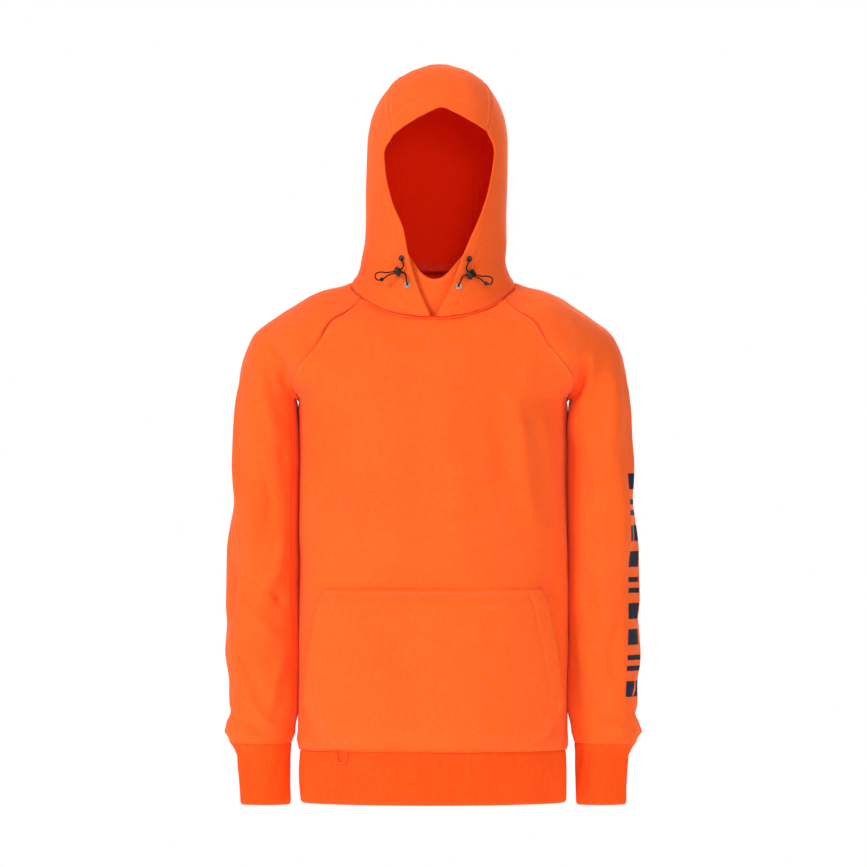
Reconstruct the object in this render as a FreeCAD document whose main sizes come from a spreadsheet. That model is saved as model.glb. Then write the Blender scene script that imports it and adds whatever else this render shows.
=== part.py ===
"""Hooded pullover sweatshirt with a hand warmer muff pocket, as a FreeCAD document.

Frame: millimetres, +Z up, the wearer faces -Y, the wearer's left is +X.
The origin is the middle of the neck opening, level with the high point of the shoulders.
The garment is a hollow shell of knitted fleece, in the shape it takes when it is worn:
a trunk with sloping raglan shoulders, two sleeves hanging at the sides, a three-panel hood
that is up, a ribbed hem band and ribbed cuffs, the muff pocket on the lower front, and the
face drawcord with a cord lock and a bead on each side of the throat.
"""
import FreeCAD, Part
import Sketcher
import math
import os
from FreeCAD import Vector as V, Placement, Rotation

os.makedirs("parts", exist_ok=True)
doc = FreeCAD.newDocument("hooded_sweatshirt")
sheet = doc.addObject("Spreadsheet::Sheet", "dims")
_row = [1]


def cell(alias, value):
    """One driving dimension, in a cell with an alias."""
    sheet.set("A%d" % _row[0], alias)
    sheet.set("B%d" % _row[0], repr(float(value)))
    sheet.setAlias("B%d" % _row[0], alias)
    _row[0] += 1
    return value


# --- driving dimensions -----------------------------------------------------------
fabric = cell("fabric_wall", 3.0)          # brushed fleece with its seam allowance
rib = cell("rib_wall", 3.5)                # doubled rib knit
pocket_gap = cell("pocket_gap", 9.0)       # hand space behind the muff panel, at rest
joint_gap = cell("joint_gap", 0.6)         # half the running gap at a split across a joint
hem_low = cell("hem_low", -725.0)
hem_top = cell("hem_top", -650.0)
hem_wide = cell("hem_wide", 186.0)
hem_deep = cell("hem_deep", 121.0)
cord_d = cell("drawcord_dia", 2.0)
cord_apart = cell("drawcord_strand_half", 1.25)
loop_d = cell("utility_loop_dia", 2.5)
bead_d = cell("bead_dia", 6.0)
eye_d = cell("eyelet_flange_dia", 8.4)
eye_bore = cell("eyelet_bore", 3.4)
eye_tube = cell("eyelet_tube_dia", 5.0)
lock_d = cell("lock_barrel_dia", 10.2)
lock_bore = cell("lock_bore_dia", 8.2)
lock_back = cell("lock_back", -7.3)
lock_front = cell("lock_front", 4.7)
plunger_d = cell("plunger_dia", 7.4)
slot_half = cell("slot_half_height", 2.65)
slot_wide = cell("slot_half_width", 1.45)
press = cell("press_travel", 2.5)

# trunk, with its shoulders: height, half width, front half depth, back half depth, squareness
TRUNK = [
    (-650, 187.0, 122.0, 122.0, 2.0),
    (-520, 187.5, 125.0, 125.0, 2.1),
    (-380, 186.5, 127.0, 126.0, 2.15),
    (-260, 186.0, 129.0, 127.0, 2.2),
    (-200, 186.5, 130.0, 127.0, 2.25),
    (-175, 187.6, 129.5, 127.0, 2.3),
    (-160, 189.5, 128.5, 127.0, 2.35),
    (-146, 207.0, 126.5, 126.0, 2.45),
    (-124, 236.0, 123.0, 124.0, 2.6),
    (-98, 254.0, 118.5, 121.0, 2.7),
    (-75, 254.0, 114.0, 118.0, 2.7),
    (-56, 238.0, 108.5, 114.0, 2.6),
    (-50, 228.5, 105.0, 112.5, 2.55),
    (-39, 207.0, 89.0, 109.0, 2.45),
    (-22, 168.5, 71.0, 103.0, 2.3),
    (-8, 133.5, 52.0, 97.5, 2.1),
    (4, 113.0, 40.0, 93.0, 2.0),
    (20, 106.0, 36.0, 90.0, 2.0),
]
# hood: height, half width, half depth, centre y, squareness
HOOD = [
    (-70, 136.0, 107.0, 0.0, 2.0),
    (-50, 129.0, 105.0, -0.5, 2.0),
    (-22, 121.0, 101.0, -3.0, 2.0),
    (0, 113.5, 97.5, -6.0, 2.0),
    (12, 106.5, 97.0, -7.0, 2.0),
    (28, 101.5, 98.5, -7.5, 2.0),
    (62, 99.5, 104.0, -1.0, 2.0),
    (103, 98.5, 113.0, 7.0, 2.0),
    (150, 98.5, 119.0, 12.0, 2.05),
    (196, 98.0, 119.5, 13.0, 2.1),
    (224, 94.5, 115.0, 13.0, 2.15),
    (246, 87.5, 106.0, 13.0, 2.2),
    (266, 76.5, 93.0, 13.0, 2.2),
    (284, 61.5, 75.0, 13.0, 2.2),
    (298, 41.0, 51.0, 13.0, 2.1),
    (306, 15.0, 19.0, 13.0, 2.0),
]
HOOD_MID = [(-70, 0.0), (28, 0.0), (60, 4.0), (150, 6.0), (306, 8.5)]      # the hood leans to the left
# sleeve, wearer's left: outer point (x, z), inner point (x, z), half depth, centre y
SLEEVE = [
    ((257.8, -71.6), (191.8, -160.6), 72.0, 1.0),
    ((267, -100), (191.2, -170), 71.0, 2.0),
    ((272, -138), (190.8, -184), 69.0, 4.0),
    ((275, -215), (190.5, -215), 66.0, 6.0),
    ((279.5, -300), (190.5, -300), 64.0, 6.0),
    ((283.5, -400), (191.5, -400), 60.0, 5.0),
    ((286, -520), (193.5, -520), 52.0, 3.0),
    ((286, -610), (196, -610), 45.0, 1.0),
    ((285.5, -641), (197, -641), 43.0, 0.0),
]
# cuff, wearer's left: height, centre x, half width, half depth
CUFF = [
    (-641.5, 241.2, 43.6, 42.4),
    (-648, 239.0, 40.0, 38.5),
    (-660, 236.5, 37.0, 34.5),
    (-690, 235.5, 35.5, 32.0),
    (-717, 235.0, 35.0, 31.0),
    (-728, 235.0, 34.6, 30.6),
]
for i, (z, a, bf, bb, sq) in enumerate(TRUNK):
    cell("trunk_level%02d" % i, z)
    cell("trunk_wide%02d" % i, a)
    cell("trunk_front%02d" % i, bf)
    cell("trunk_back%02d" % i, bb)
for i, (z, a, b, y, sq) in enumerate(HOOD):
    cell("hood_level%02d" % i, z)
    cell("hood_wide%02d" % i, a)
    cell("hood_deep%02d" % i, b)
    cell("hood_mid%02d" % i, y)
for i, (po, pi, d, y) in enumerate(SLEEVE):
    cell("sleeve_deep%02d" % i, d)
for i, (z, x, a, b) in enumerate(CUFF):
    cell("cuff_wide%02d" % i, a)
    cell("cuff_deep%02d" % i, b)

# seam lines and edges
NECK_SEAM = [(-230, -96), (-105, -50), (-98, -46), (-83, -36), (-55, -17), (0, 2), (50, 10), (90, 15), (230, 20)]   # (y, z)
RAGLAN_FRONT = [(-172, 400), (-160, 187.0), (-148, 194), (-134, 195.5), (-119, 189), (-101, 175), (-84, 160), (-64, 149), (-53, 141), (-41, 122), (-28, 108), (-17, 100)]  # (z, x)
RAGLAN_BACK = [(-172, 400), (-160, 187.0), (-148, 195), (-125, 186), (-95, 168), (-60, 146), (-28, 120), (-8, 106), (8, 97)]
FACE_RIGHT = [(-3, -46), (-21, -5), (-35, 42), (-41, 74), (-57, 114), (-66, 154), (-67, 180), (-52, 208)]            # (x, z), wearer's right
FACE_LEFT = [(4, -47), (14, -28), (28, 2), (41, 36), (52, 62), (63, 87), (78, 133), (84, 180), (72, 214)]
FACE_TOP = [(-52, 208), (-42, 219), (-22, 232), (12, 245), (42, 234), (60, 223), (72, 214)]
COLLAR_TOP = [(-300, 60), (-80, 60), (-54, 54), (-35, 42), (-23, 20), (-10, 7), (6, 3), (19, 11), (40, 36), (58, 54), (80, 60), (300, 60)]
doc.recompute()


# --- helpers ----------------------------------------------------------------------
def lerp(rows, z, k):
    """Value k of a table at height z, on a smooth curve that doesn't overshoot."""
    if z <= rows[0][0]:
        return rows[0][k]
    if z >= rows[-1][0]:
        return rows[-1][k]
    n = len(rows)
    i = max(j for j in range(n - 1) if rows[j][0] <= z)

    def sec(j):
        return (rows[j + 1][k] - rows[j][k]) / float(rows[j + 1][0] - rows[j][0])

    def slope(j):
        if j == 0:
            return sec(0)
        if j == n - 1:
            return sec(n - 2)
        a, b = sec(j - 1), sec(j)
        return 0.0 if a * b <= 0 else 2 * a * b / (a + b)
    h_ = float(rows[i + 1][0] - rows[i][0])
    t = (z - rows[i][0]) / h_
    return ((2 * t ** 3 - 3 * t ** 2 + 1) * rows[i][k] + (t ** 3 - 2 * t ** 2 + t) * h_ * slope(i)
            + (-2 * t ** 3 + 3 * t ** 2) * rows[i + 1][k] + (t ** 3 - t ** 2) * h_ * slope(i + 1))


def line(pts, v):
    """Piecewise straight value of a table of pairs."""
    if v <= pts[0][0]:
        return pts[0][1]
    for p, q in zip(pts, pts[1:]):
        if v <= q[0]:
            return p[1] + (q[1] - p[1]) * (v - p[0]) / float(q[0] - p[0])
    return pts[-1][1]


def trunk_at(t, z, back):
    """Trunk surface: t runs from -pi/2 at the right side to pi/2 at the left side."""
    a, b, n_ = lerp(TRUNK, z, 1), lerp(TRUNK, z, 3 if back else 2), lerp(TRUNK, z, 4)
    s_, c_ = math.sin(t), math.cos(t)
    x = a * math.copysign(abs(s_) ** (2 / n_), s_)
    y = b * abs(c_) ** (2 / n_)
    return V(x, y if back else -y, z)


def trunk_t(x, z):
    a, n_ = lerp(TRUNK, z, 1), lerp(TRUNK, z, 4)
    return math.asin(min(1.0, (abs(x) / a) ** (n_ / 2)))


def hood_f(p):
    if p.z > 306.5:
        return 9.0
    a, b, cy, n_, cx = lerp(HOOD, p.z, 1), lerp(HOOD, p.z, 2), lerp(HOOD, p.z, 3), lerp(HOOD, p.z, 4), lerp(HOOD_MID, p.z, 1)
    return (abs(p.x - cx) / a) ** n_ + (abs(p.y - cy) / b) ** n_


def on_hood(p, less=0.0):
    """The point pushed straight out, or in, to the hood's surface."""
    if p.z <= 160:
        c = V(lerp(HOOD_MID, p.z, 1), lerp(HOOD, p.z, 3), p.z)
    else:
        c = V(lerp(HOOD_MID, 160, 1), 13, 160)
    d = p - c
    lo, hi = 0.0, 6.0
    for _ in range(44):
        m = (lo + hi) / 2
        if hood_f(c + d * m) > 1:
            hi = m
        else:
            lo = m
    q = c + d * lo
    return q - (q - c).normalize() * less


def resample(pts, n):
    acc = [0.0]
    for p, q in zip(pts, pts[1:]):
        acc.append(acc[-1] + (q - p).Length)
    out = []
    for i in range(n):
        want = acc[-1] * i / (n - 1.0)
        j = min(max(k for k in range(len(acc)) if acc[k] <= want + 1e-9), len(pts) - 2)
        f = (want - acc[j]) / max(acc[j + 1] - acc[j], 1e-9)
        out.append(pts[j] + (pts[j + 1] - pts[j]) * f)
    return out


def coons(bottom, top, first, last):
    """Grid [v][u] from four edge lists; bottom and top run along u, first and last along v."""
    nu, nv = len(bottom), len(first)
    g = []
    for j in range(nv):
        v = j / (nv - 1.0)
        row = []
        for i in range(nu):
            u_ = i / (nu - 1.0)
            p = bottom[i] * (1 - v) + top[i] * v + first[j] * (1 - u_) + last[j] * u_
            p = p - (bottom[0] * ((1 - u_) * (1 - v)) + bottom[-1] * (u_ * (1 - v)) + top[0] * ((1 - u_) * v) + top[-1] * (u_ * v))
            row.append(p)
        g.append(row)
    return g


def pull(g, d=0.5, sides="btfl"):
    """The grid's edges drawn in by d, for the seam's groove."""
    g = [[V(p) for p in r] for r in g]

    def step(p, q):
        return p + (q - p).normalize() * min(d, 0.4 * (q - p).Length)
    if "b" in sides:
        g[0] = [step(p, q) for p, q in zip(g[0], g[1])]
    if "t" in sides:
        g[-1] = [step(p, q) for p, q in zip(g[-1], g[-2])]
    for r in g:
        if "f" in sides:
            r[0] = step(r[0], r[1])
        if "l" in sides:
            r[-1] = step(r[-1], r[-2])
    return g


def normals(g, centre):
    nv, nu = len(g), len(g[0])
    out = []
    for j in range(nv):
        row = []
        for i in range(nu):
            du = g[j][min(i + 1, nu - 1)] - g[j][max(i - 1, 0)]
            dv = g[min(j + 1, nv - 1)][i] - g[max(j - 1, 0)][i]
            n_ = du.cross(dv)
            n_ = n_.normalize() if n_.Length > 1e-6 else V(0, 0, 1)
            row.append(n_)
        out.append(row)
    j, i = nv // 2, nu // 2
    if out[j][i].dot(g[j][i] - centre) < 0:
        out = [[n_ * -1 for n_ in r] for r in out]
    return out


def thick(name, g, wall, centre, lift=None):
    """A cloth panel: the grid's smooth surface, a second one inside it, and four edge strips."""
    nn = normals(g, centre)
    if lift:
        g = [[p + n_ * lift(p) for p, n_ in zip(r, q)] for r, q in zip(g, nn)]
    inner = [[p - n_ * wall for p, n_ in zip(r, q)] for r, q in zip(g, nn)]
    faces, surf = [], []
    for k in (g, inner):
        b = Part.BSplineSurface()
        b.interpolate(k)
        surf.append(b)
        faces.append(b.toShape())
    so, si = surf
    u0, u1, v0, v1 = so.bounds()
    a0, a1, c0, c1 = si.bounds()
    for e, f in ((so.uIso(u0), si.uIso(a0)), (so.uIso(u1), si.uIso(a1)), (so.vIso(v0), si.vIso(c0)), (so.vIso(v1), si.vIso(c1))):
        faces.append(Part.makeRuledSurface(e.toShape(), f.toShape()))
    sh = Part.Shell(faces)
    sh.sewShape()
    solid = Part.Solid(sh.Shells[0] if sh.ShapeType != "Shell" else sh)
    if solid.Volume < 0:
        solid = Part.Solid(solid.Shells[0].reversed())
    sf = solid
    o = doc.addObject("Part::Feature", name)
    o.Shape = sf
    return o


def feature(name, shape):
    o = doc.addObject("Part::Feature", name)
    o.Shape = shape
    return o


def cut(name, base, tool):
    o = doc.addObject("Part::Cut", name)
    o.Base, o.Tool = base, tool
    return o


def common(name, base, tool):
    o = doc.addObject("Part::Common", name)
    o.Base, o.Tool = base, tool
    return o


def fuse(name, shapes):
    o = doc.addObject("Part::MultiFuse", name)
    o.Shapes = shapes
    return o


def extrude(name, sk, direction, length):
    o = doc.addObject("Part::Extrusion", name)
    o.Base = sk
    o.DirMode = "Custom"
    o.Dir = V(*direction)
    o.LengthFwd = length
    o.Solid = True
    return o


kept = {}


def keep(o, label):
    o.Label = label
    kept[label] = o
    return o


# --- trunk ------------------------------------------------------------------------
def trunk_row(ze, xe, m, back, count):
    """One row of a body panel: from the right edge to the left edge, on a plane that slopes fore and aft."""
    te = trunk_t(xe, ze)
    ye = trunk_at(te, ze, back).y
    row = []
    for i in range(count):
        t = -te + 2 * te * i / (count - 1.0)
        z = ze
        for _ in range(40):
            z = 0.5 * z + 0.5 * (ze + m * (trunk_at(t, z, back).y - ye))
        row.append(trunk_at(t, z, back))
    return row


STRAIGHT = [-649.6, -610, -560, -500, -430, -360, -300, -250, -215, -190]
fr_rows = [trunk_row(z, 400, 0.0, False, 23) for z in STRAIGHT]
for k, (z, x) in enumerate(RAGLAN_FRONT):
    fr_rows.append(trunk_row(z, x, 0.667 * (k / 11.0) ** 1.3, False, 23))
bk_rows = [trunk_row(z, 400, 0.0, True, 23) for z in STRAIGHT]
for k, (z, x) in enumerate(RAGLAN_BACK):
    bk_rows.append(trunk_row(z, x, 0.14 * (k / 8.0) ** 1.3, True, 23))


def underarm(g):
    """The side edges stand further apart near the underarm point."""
    for r in g:
        if -230 < r[0].z < -140:
            k = 2.2 * min(1.0, (r[0].z + 230) / 35.0)
            r[0] = r[0] + (r[1] - r[0]).normalize() * k
            r[-1] = r[-1] + (r[-2] - r[-1]).normalize() * k
    return g


keep(thick("front_body", underarm(pull(fr_rows, 1.2)), fabric, V(0, 0, -300)), "front_body_panel")
keep(thick("back_body", underarm(pull(bk_rows, 1.2)), fabric, V(0, 0, -300)), "back_body_panel")

# --- shoulder parts of the sleeves, each between its two raglan seams and the shoulder joint
ARM_IN, ARM_OUT = V(191, 0, -160), V(257, 0, -71)
u = (ARM_OUT - ARM_IN).normalize()
nrm = V(u.z, 0, -u.x)                                      # towards the arm
NECK_SIDE = [V(100, -55, -17), V(107.5, -41, -12), V(112.5, -25, -6.5), V(114.8, -8, -0.8), V(114.4, 8, 3.2), V(111, 22, 5.6), V(105, 34, 7.2)]


def flip(pts):
    return [V(-p.x, p.y, p.z) for p in pts]


def joint_loop(count):
    """The cloth's outline on the joint plane, from the front of the armpit over the top to its back."""
    c = (ARM_IN + ARM_OUT) * 0.5 - nrm * joint_gap
    w = (ARM_OUT - ARM_IN).Length / 2
    out = []
    for i in range(count):
        f = -1.0 + 2.0 * i / (count - 1.0)
        ang = f * math.radians(151)
        ct, st = math.cos(ang), math.sin(ang)
        out.append(c + u * (w * math.copysign(abs(ct) ** 0.9, ct)) + V(0, 1, 0) * (71.0 * math.copysign(abs(st) ** 0.9, st) + 1))
    return out


f_edge = [r[-1] for r in fr_rows[len(STRAIGHT) + 1:]][::-1]       # neck to armpit, wearer's left
b_edge = [r[-1] for r in bk_rows[len(STRAIGHT) + 1:]][::-1]
loop_j = joint_loop(41)
f_edge, b_edge = resample(f_edge, 13), resample(b_edge, 13)
f_edge[-1], b_edge[-1] = loop_j[0] * 0.5 + f_edge[-1] * 0.5, loop_j[-1] * 0.5 + b_edge[-1] * 0.5
loop_j[0], loop_j[-1] = f_edge[-1], b_edge[-1]
loop_j = resample(loop_j, 23)
neck_side = resample([f_edge[0]] + NECK_SIDE[1:] + [b_edge[0]], 23)
yoke = coons(neck_side, loop_j, f_edge, b_edge)
# the shoulder is rounder than its edges alone would make it
for j, r in enumerate(yoke):
    v = j / (len(yoke) - 1.0)
    for i, p in enumerate(r):
        w_ = i / (len(r) - 1.0)
        r[i] = p + V(0.25, 0, 1).normalize() * (5.0 * math.sin(math.pi * v) * math.sin(math.pi * w_))
for side, word in ((1, "left"), (-1, "right")):
    g = yoke if side > 0 else [flip(r) for r in yoke]
    keep(thick(word + "_yoke", pull(g, 2.2, "bfl"), fabric, V(side * 160, 0, -120)), word + "_sleeve_shoulder")


def sleeve(name, side, inward):
    rows = []
    table = [(V(po[0], y, po[1]), V(pi[0], y, pi[1]), d) for po, pi, d, y in SLEEVE]
    if inward > 0:                                         # the hollow runs on past both ends
        a, b, d = table[0]
        table[0] = (a - nrm * 5, b - nrm * 5, d)
        a, b, d = table[-1]
        table[-1] = (a - V(0, 0, 6), b - V(0, 0, 6), d)
    for a, b, d in table:
        half = (a - b).Length / 2
        w = (a - b).normalize()
        c = (a + b) * 0.5
        pts = []
        for k in range(24):
            t = k * math.pi / 12
            ct, st = math.cos(t), math.sin(t)
            p = c + w * ((half - inward) * math.copysign(abs(ct) ** 0.93, ct)) + V(0, 1, 0) * ((d - inward) * math.copysign(abs(st) ** 0.93, st))
            pts.append(V(side * p.x, p.y, p.z))
        bs = Part.BSplineCurve()
        bs.interpolate(pts, PeriodicFlag=True)
        rows.append(Part.Wire(bs.toShape()))
    return feature(name, Part.makeLoft(rows, True, False))


for side, word in ((1, "left"), (-1, "right")):
    keep(cut(word + "_arm_tube", sleeve(word + "_arm_outer", side, 0.0), sleeve(word + "_arm_inner", side, fabric)), word + "_sleeve")
doc.recompute()


# --- ribbed cuffs and hem band ----------------------------------------------------
def ellipse(name, centre, major, minor, expr_major, expr_minor):
    o = doc.addObject("Part::Ellipse", name)
    o.MajorRadius, o.MinorRadius = major, minor
    o.Placement = Placement(V(*centre), Rotation())
    o.setExpression("MajorRadius", expr_major)
    o.setExpression("MinorRadius", expr_minor)
    return o


for side, word in ((1, "left"), (-1, "right")):
    lofts = []
    for k in (0, 1):
        rows = []
        for i, (z, x, a, b) in enumerate(CUFF):
            zz = z + (4 if i == 0 else (-4 if i == len(CUFF) - 1 else 0)) * k
            e = "- dims.rib_wall" if k else ""
            rows.append(ellipse("%s_cuff_%d_%d" % (word, k, i), (side * x, 0, zz), a - rib * k, b - rib * k,
                                "dims.cuff_wide%02d %s" % (i, e), "dims.cuff_deep%02d %s" % (i, e)))
        o = doc.addObject("Part::Loft", "%s_cuff_tube_%d" % (word, k))
        o.Sections = rows
        o.Solid = True
        o.Ruled = False
        lofts.append(o)
    keep(cut(word + "_cuff_ring", lofts[0], lofts[1]), word + "_cuff")

hem = doc.addObject("PartDesign::Body", "hem_body")
sk = hem.newObject("Sketcher::SketchObject", "hem_sketch")
sk.AttachmentSupport = [([f for f in hem.Origin.OriginFeatures if f.Role == "XY_Plane"][0], "")]
sk.MapMode = "FlatFace"
sk.AttachmentOffset = Placement(V(0, 0, hem_low), Rotation())
sk.setExpression("AttachmentOffset.Base.z", "dims.hem_low")
sk.addGeometry(Part.Ellipse(V(0, 0, 0), hem_wide, hem_deep), False)
sk.addGeometry(Part.Ellipse(V(0, 0, 0), hem_wide - rib, hem_deep - rib), False)
pad = hem.newObject("PartDesign::Pad", "hem_pad")
pad.Profile = sk
pad.setExpression("Length", "dims.hem_top - dims.hem_low")
doc.recompute()
keep(hem, "hem_rib_band")

# --- muff pocket: sewn at its top, bottom and lower corners, open at both slanted sides
POCKET_EDGE = [(-648.5, 150.0), (-640, 154.0), (-622, 162.5), (-606, 169.5), (-597, 173.0), (-590, 174.3), (-580, 173.2), (-560, 171.0), (-530, 167.5), (-495, 162.5), (-460, 156.5), (-440, 153.0), (-430, 151.3), (-425, 150.5)]


def smooth(v):
    v = max(0.0, min(1.0, v))
    return v * v * (3 - 2 * v)


def pocket_lift(p):
    """How far the panel stands off the body: nothing at the sewn edges, the hand space elsewhere."""
    side = abs(p.x)
    edge = line(POCKET_EDGE, p.z)
    low = smooth((p.z + 648.5) / 26.0)
    top = smooth((-425.0 - p.z) / 22.0)
    corner = smooth((p.z + 604.0) / 26.0)
    near = smooth((edge - side) / 24.0)
    return 1.8 + fabric + pocket_gap * low * top * (near + (1 - near) * corner)


pk = []
for z, x in POCKET_EDGE:
    te = trunk_t(x, z)
    pk.append([trunk_at(-te + 2 * te * i / 28.0, z, False) for i in range(29)])
keep(thick("pocket_panel", pk, fabric, V(0, 0, -540), pocket_lift), "hand_warmer_muff_pocket")

# --- hood -------------------------------------------------------------------------
NAPE, BROW = V(0, 97, 25), V(0, -112, 48)
hu = (BROW - NAPE).normalize()
hn = V(0, -hu.z, hu.y)
if hn.z < 0:
    hn = hn * -1


def split_z(y):
    return 25 + (97 - y) * 23.0 / 209.0


def hood_ring(t, zfun):
    """The hood's surface at angle t (0 in front, pi behind, positive to the left), at the height zfun(y)."""
    z = 10.0
    for _ in range(40):
        a, b, cy, cx = lerp(HOOD, z, 1), lerp(HOOD, z, 2), lerp(HOOD, z, 3), lerp(HOOD_MID, z, 1)
        z = 0.5 * z + 0.5 * zfun(cy - b * math.cos(t))
    p = V(lerp(HOOD_MID, z, 1) + lerp(HOOD, z, 1) * math.sin(t), lerp(HOOD, z, 3) - lerp(HOOD, z, 2) * math.cos(t), z)
    return on_hood(p)


def hood_front(x, z):
    return on_hood(V(x, -150, z)) if z <= 160 and False else hood_xz(x, z, -1)


def hood_xz(x, z, s_):
    a, b, cy, n_, cx = lerp(HOOD, z, 1), lerp(HOOD, z, 2), lerp(HOOD, z, 3), lerp(HOOD, z, 4), lerp(HOOD_MID, z, 1)
    q = max(1 - (abs(x - cx) / a) ** n_, 0.0)
    return V(x, cy + s_ * b * q ** (1 / n_), z)


up_gap, dn_gap = hn * joint_gap, hn * -joint_gap
# centre panel: rows from the brow over the crown and down to the nape
EDGE_L = [(0, 72), (4, 78), (7, 72), (12, 64), (16, 60), (20, 57)]
NC = 15


def centre_x(k):
    """The panel's right and left edge at row k of 21."""
    r = line([(0, -52), (4, -53), (7, -50), (12, -49), (16, -51), (20, -54)], k)
    l = line([(0, 72), (4, 76), (7, 70), (12, 63), (16, 60), (20, 57)], k)
    return r, l


def crown(x):
    lo, hi = 160.0, 306.4
    for _ in range(40):
        m = (lo + hi) / 2
        if hood_f(V(x, 13, m)) > 1:
            hi = m
        else:
            lo = m
    return V(x, 13, lo)


top_pts = resample([hood_xz(x, z, -1) for x, z in FACE_TOP], NC)
cg = []
for k in range(21):
    r, l = centre_x(k)
    row = []
    for i in range(NC):
        x = r + (l - r) * i / (NC - 1.0)
        if k == 0:
            p = on_hood(top_pts[i])
        elif k <= 7:
            f = k / 7.0
            r7, l7 = centre_x(7)
            ridge = crown(r7 + (l7 - r7) * i / (NC - 1.0))
            q = top_pts[i] * (1 - f) + ridge * f
            q = V(x * math.sin(math.pi * f) * 0.0 + q.x, q.y, q.z)
            p = on_hood(q)
        elif k <= 13:
            f = (k - 7) / 6.0
            r7, l7 = centre_x(7)
            ridge = crown(r7 + (l7 - r7) * i / (NC - 1.0))
            low = hood_xz(x, 160, 1)
            q = ridge * (1 - f) + low * f
            p = on_hood(q)
        else:
            z = 160 + (k - 13) / 7.0 * (split_z(95) - 160)
            p = hood_xz(x, z, 1)
            if k == 20:
                p = hood_xz(x, split_z(p.y), 1) + up_gap
        row.append(p)
    cg.append(row)
keep(thick("hood_centre", pull(cg, 1.6, "bfl"), fabric, V(6, 10, 150)), "hood_centre_panel")
for side, word in ((1, "left"), (-1, "right")):
    edge = [r[-1 if side > 0 else 0] for r in cg]
    topc = resample(edge[:8], 13)                          # brow to ridge
    back = resample(edge[7:][::-1], 13)                    # nape to ridge
    face = FACE_LEFT if side > 0 else FACE_RIGHT
    fe = [hood_front(x, z) for x, z in face]
    fe = [p for p in fe if p.z > split_z(p.y) + 3]
    start = None
    # where the opening's edge crosses the joint
    zc = split_z(-95)
    xs = [x for x, z in face]
    tab = sorted((z, x) for x, z in face)
    xc = line(tab, zc)
    start = hood_front(xc, split_z(hood_front(xc, zc).y))
    fe = resample([start + up_gap] + fe[:-1] + [topc[0]], 13)
    ta = math.asin(max(-1, min(1, (start.x - lerp(HOOD_MID, start.z, 1)) / lerp(HOOD, start.z, 1))))
    end = back[0]
    tb = math.pi - math.asin(max(-1, min(1, (end.x - lerp(HOOD_MID, end.z, 1)) / lerp(HOOD, end.z, 1))))
    if side < 0:
        tb = -math.pi - math.asin(max(-1, min(1, (end.x - lerp(HOOD_MID, end.z, 1)) / lerp(HOOD, end.z, 1))))
    low = [hood_ring(ta + (tb - ta) * i / 30.0, split_z) + up_gap for i in range(31)]
    low[0], low[-1] = fe[0], back[0]
    low = resample(low, 15)
    g = coons(low, resample(topc, 15), fe, back)
    nv, nu = len(g), len(g[0])
    for j in range(1, nv - 1):
        for i in range(1, nu - 1):
            g[j][i] = on_hood(g[j][i])
    keep(thick(word + "_hood_side", pull(g, 1.0, "tfl"), fabric, V(6, 10, 140)), word + "_hood_panel")
    # the foot of the side panel, between the joint and the neck seam
    seam_z = lambda y: line(NECK_SEAM, y)
    s0 = hood_front(face[0][0], face[0][1])
    s0 = hood_front(face[0][0], line(NECK_SEAM, s0.y) + 0.5)
    t0 = math.asin((s0.x - lerp(HOOD_MID, s0.z, 1)) / lerp(HOOD, s0.z, 1))
    eb = hood_xz(centre_x(20)[1 if side > 0 else 0], 14.0, 1)
    t1 = math.pi - math.asin(eb.x / lerp(HOOD, 14, 1)) if side > 0 else -math.pi - math.asin(eb.x / lerp(HOOD, 14, 1))
    bot = resample([hood_ring(t0 + (t1 - t0) * i / 40.0, lambda y: line(NECK_SEAM, y) + 0.6) for i in range(41)], 21)
    upl = [hood_ring(ta + (tb - ta) * i / 40.0, split_z) + dn_gap for i in range(41)]
    upl[0] = start + dn_gap
    upl[-1] = back[0] - up_gap + dn_gap
    upl = resample(upl, 21)
    fr = resample([bot[0]] + [hood_front(x, z) for x, z in face if -40 < z < zc - 5] + [upl[0]], 9)
    la = resample([bot[-1], upl[-1]], 9)
    la = [la[0]] + [on_hood(p) for p in la[1:-1]] + [la[-1]]
    g = coons(bot, upl, fr, la)
    for j in range(1, len(g) - 1):
        for i in range(1, len(g[0]) - 1):
            g[j][i] = on_hood(g[j][i])
    foot = thick(word + "_hood_foot_plain", pull(g, 0.7, "bfl"), fabric, V(0, 0, 0))
    if side > 0:
        foot_l = foot
        eb_l = (bot[-1], upl[-1])
    else:
        foot_r = foot
        eb_r = (bot[-1], upl[-1])
cb = resample([eb_r[0]] + [hood_ring(math.pi + math.asin(-x / 98.0), lambda y: line(NECK_SEAM, y) + 0.6) for x in (-40, -20, 0, 20, 40)] + [eb_l[0]], 11)
ct_ = resample([eb_r[1]] + [hood_ring(math.pi + math.asin(-x / 98.0), split_z) + dn_gap for x in (-40, -20, 0, 20, 40)] + [eb_l[1]], 11)
g = coons(cb, ct_, resample([cb[0], ct_[0]], 5), resample([cb[-1], ct_[-1]], 5))
keep(thick("hood_centre_foot", pull(g, 0.5, "bfl"), fabric, V(0, 0, 10)), "hood_centre_panel_foot")


# --- eyelets, cord locks and drawcords --------------------------------------------
def hood_point(x, z):
    """The hood's outer surface at the front: the point and its outward normal."""
    a, b, y, cx = lerp(HOOD, z, 1), lerp(HOOD, z, 2), lerp(HOOD, z, 3), lerp(HOOD_MID, z, 1)

    def at(xx, zz):
        aa, bb, yy, cc = lerp(HOOD, zz, 1), lerp(HOOD, zz, 2), lerp(HOOD, zz, 3), lerp(HOOD_MID, zz, 1)
        return V(xx, yy - bb * math.sqrt(max(1 - ((xx - cc) / aa) ** 2, 0.0)), zz)
    p = at(x, z)
    n_ = (at(x + 1, z) - at(x - 1, z)).cross(at(x, z + 3) - at(x, z - 3)).normalize()
    if n_.y > 0:
        n_ = n_ * -1
    return p, n_


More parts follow.
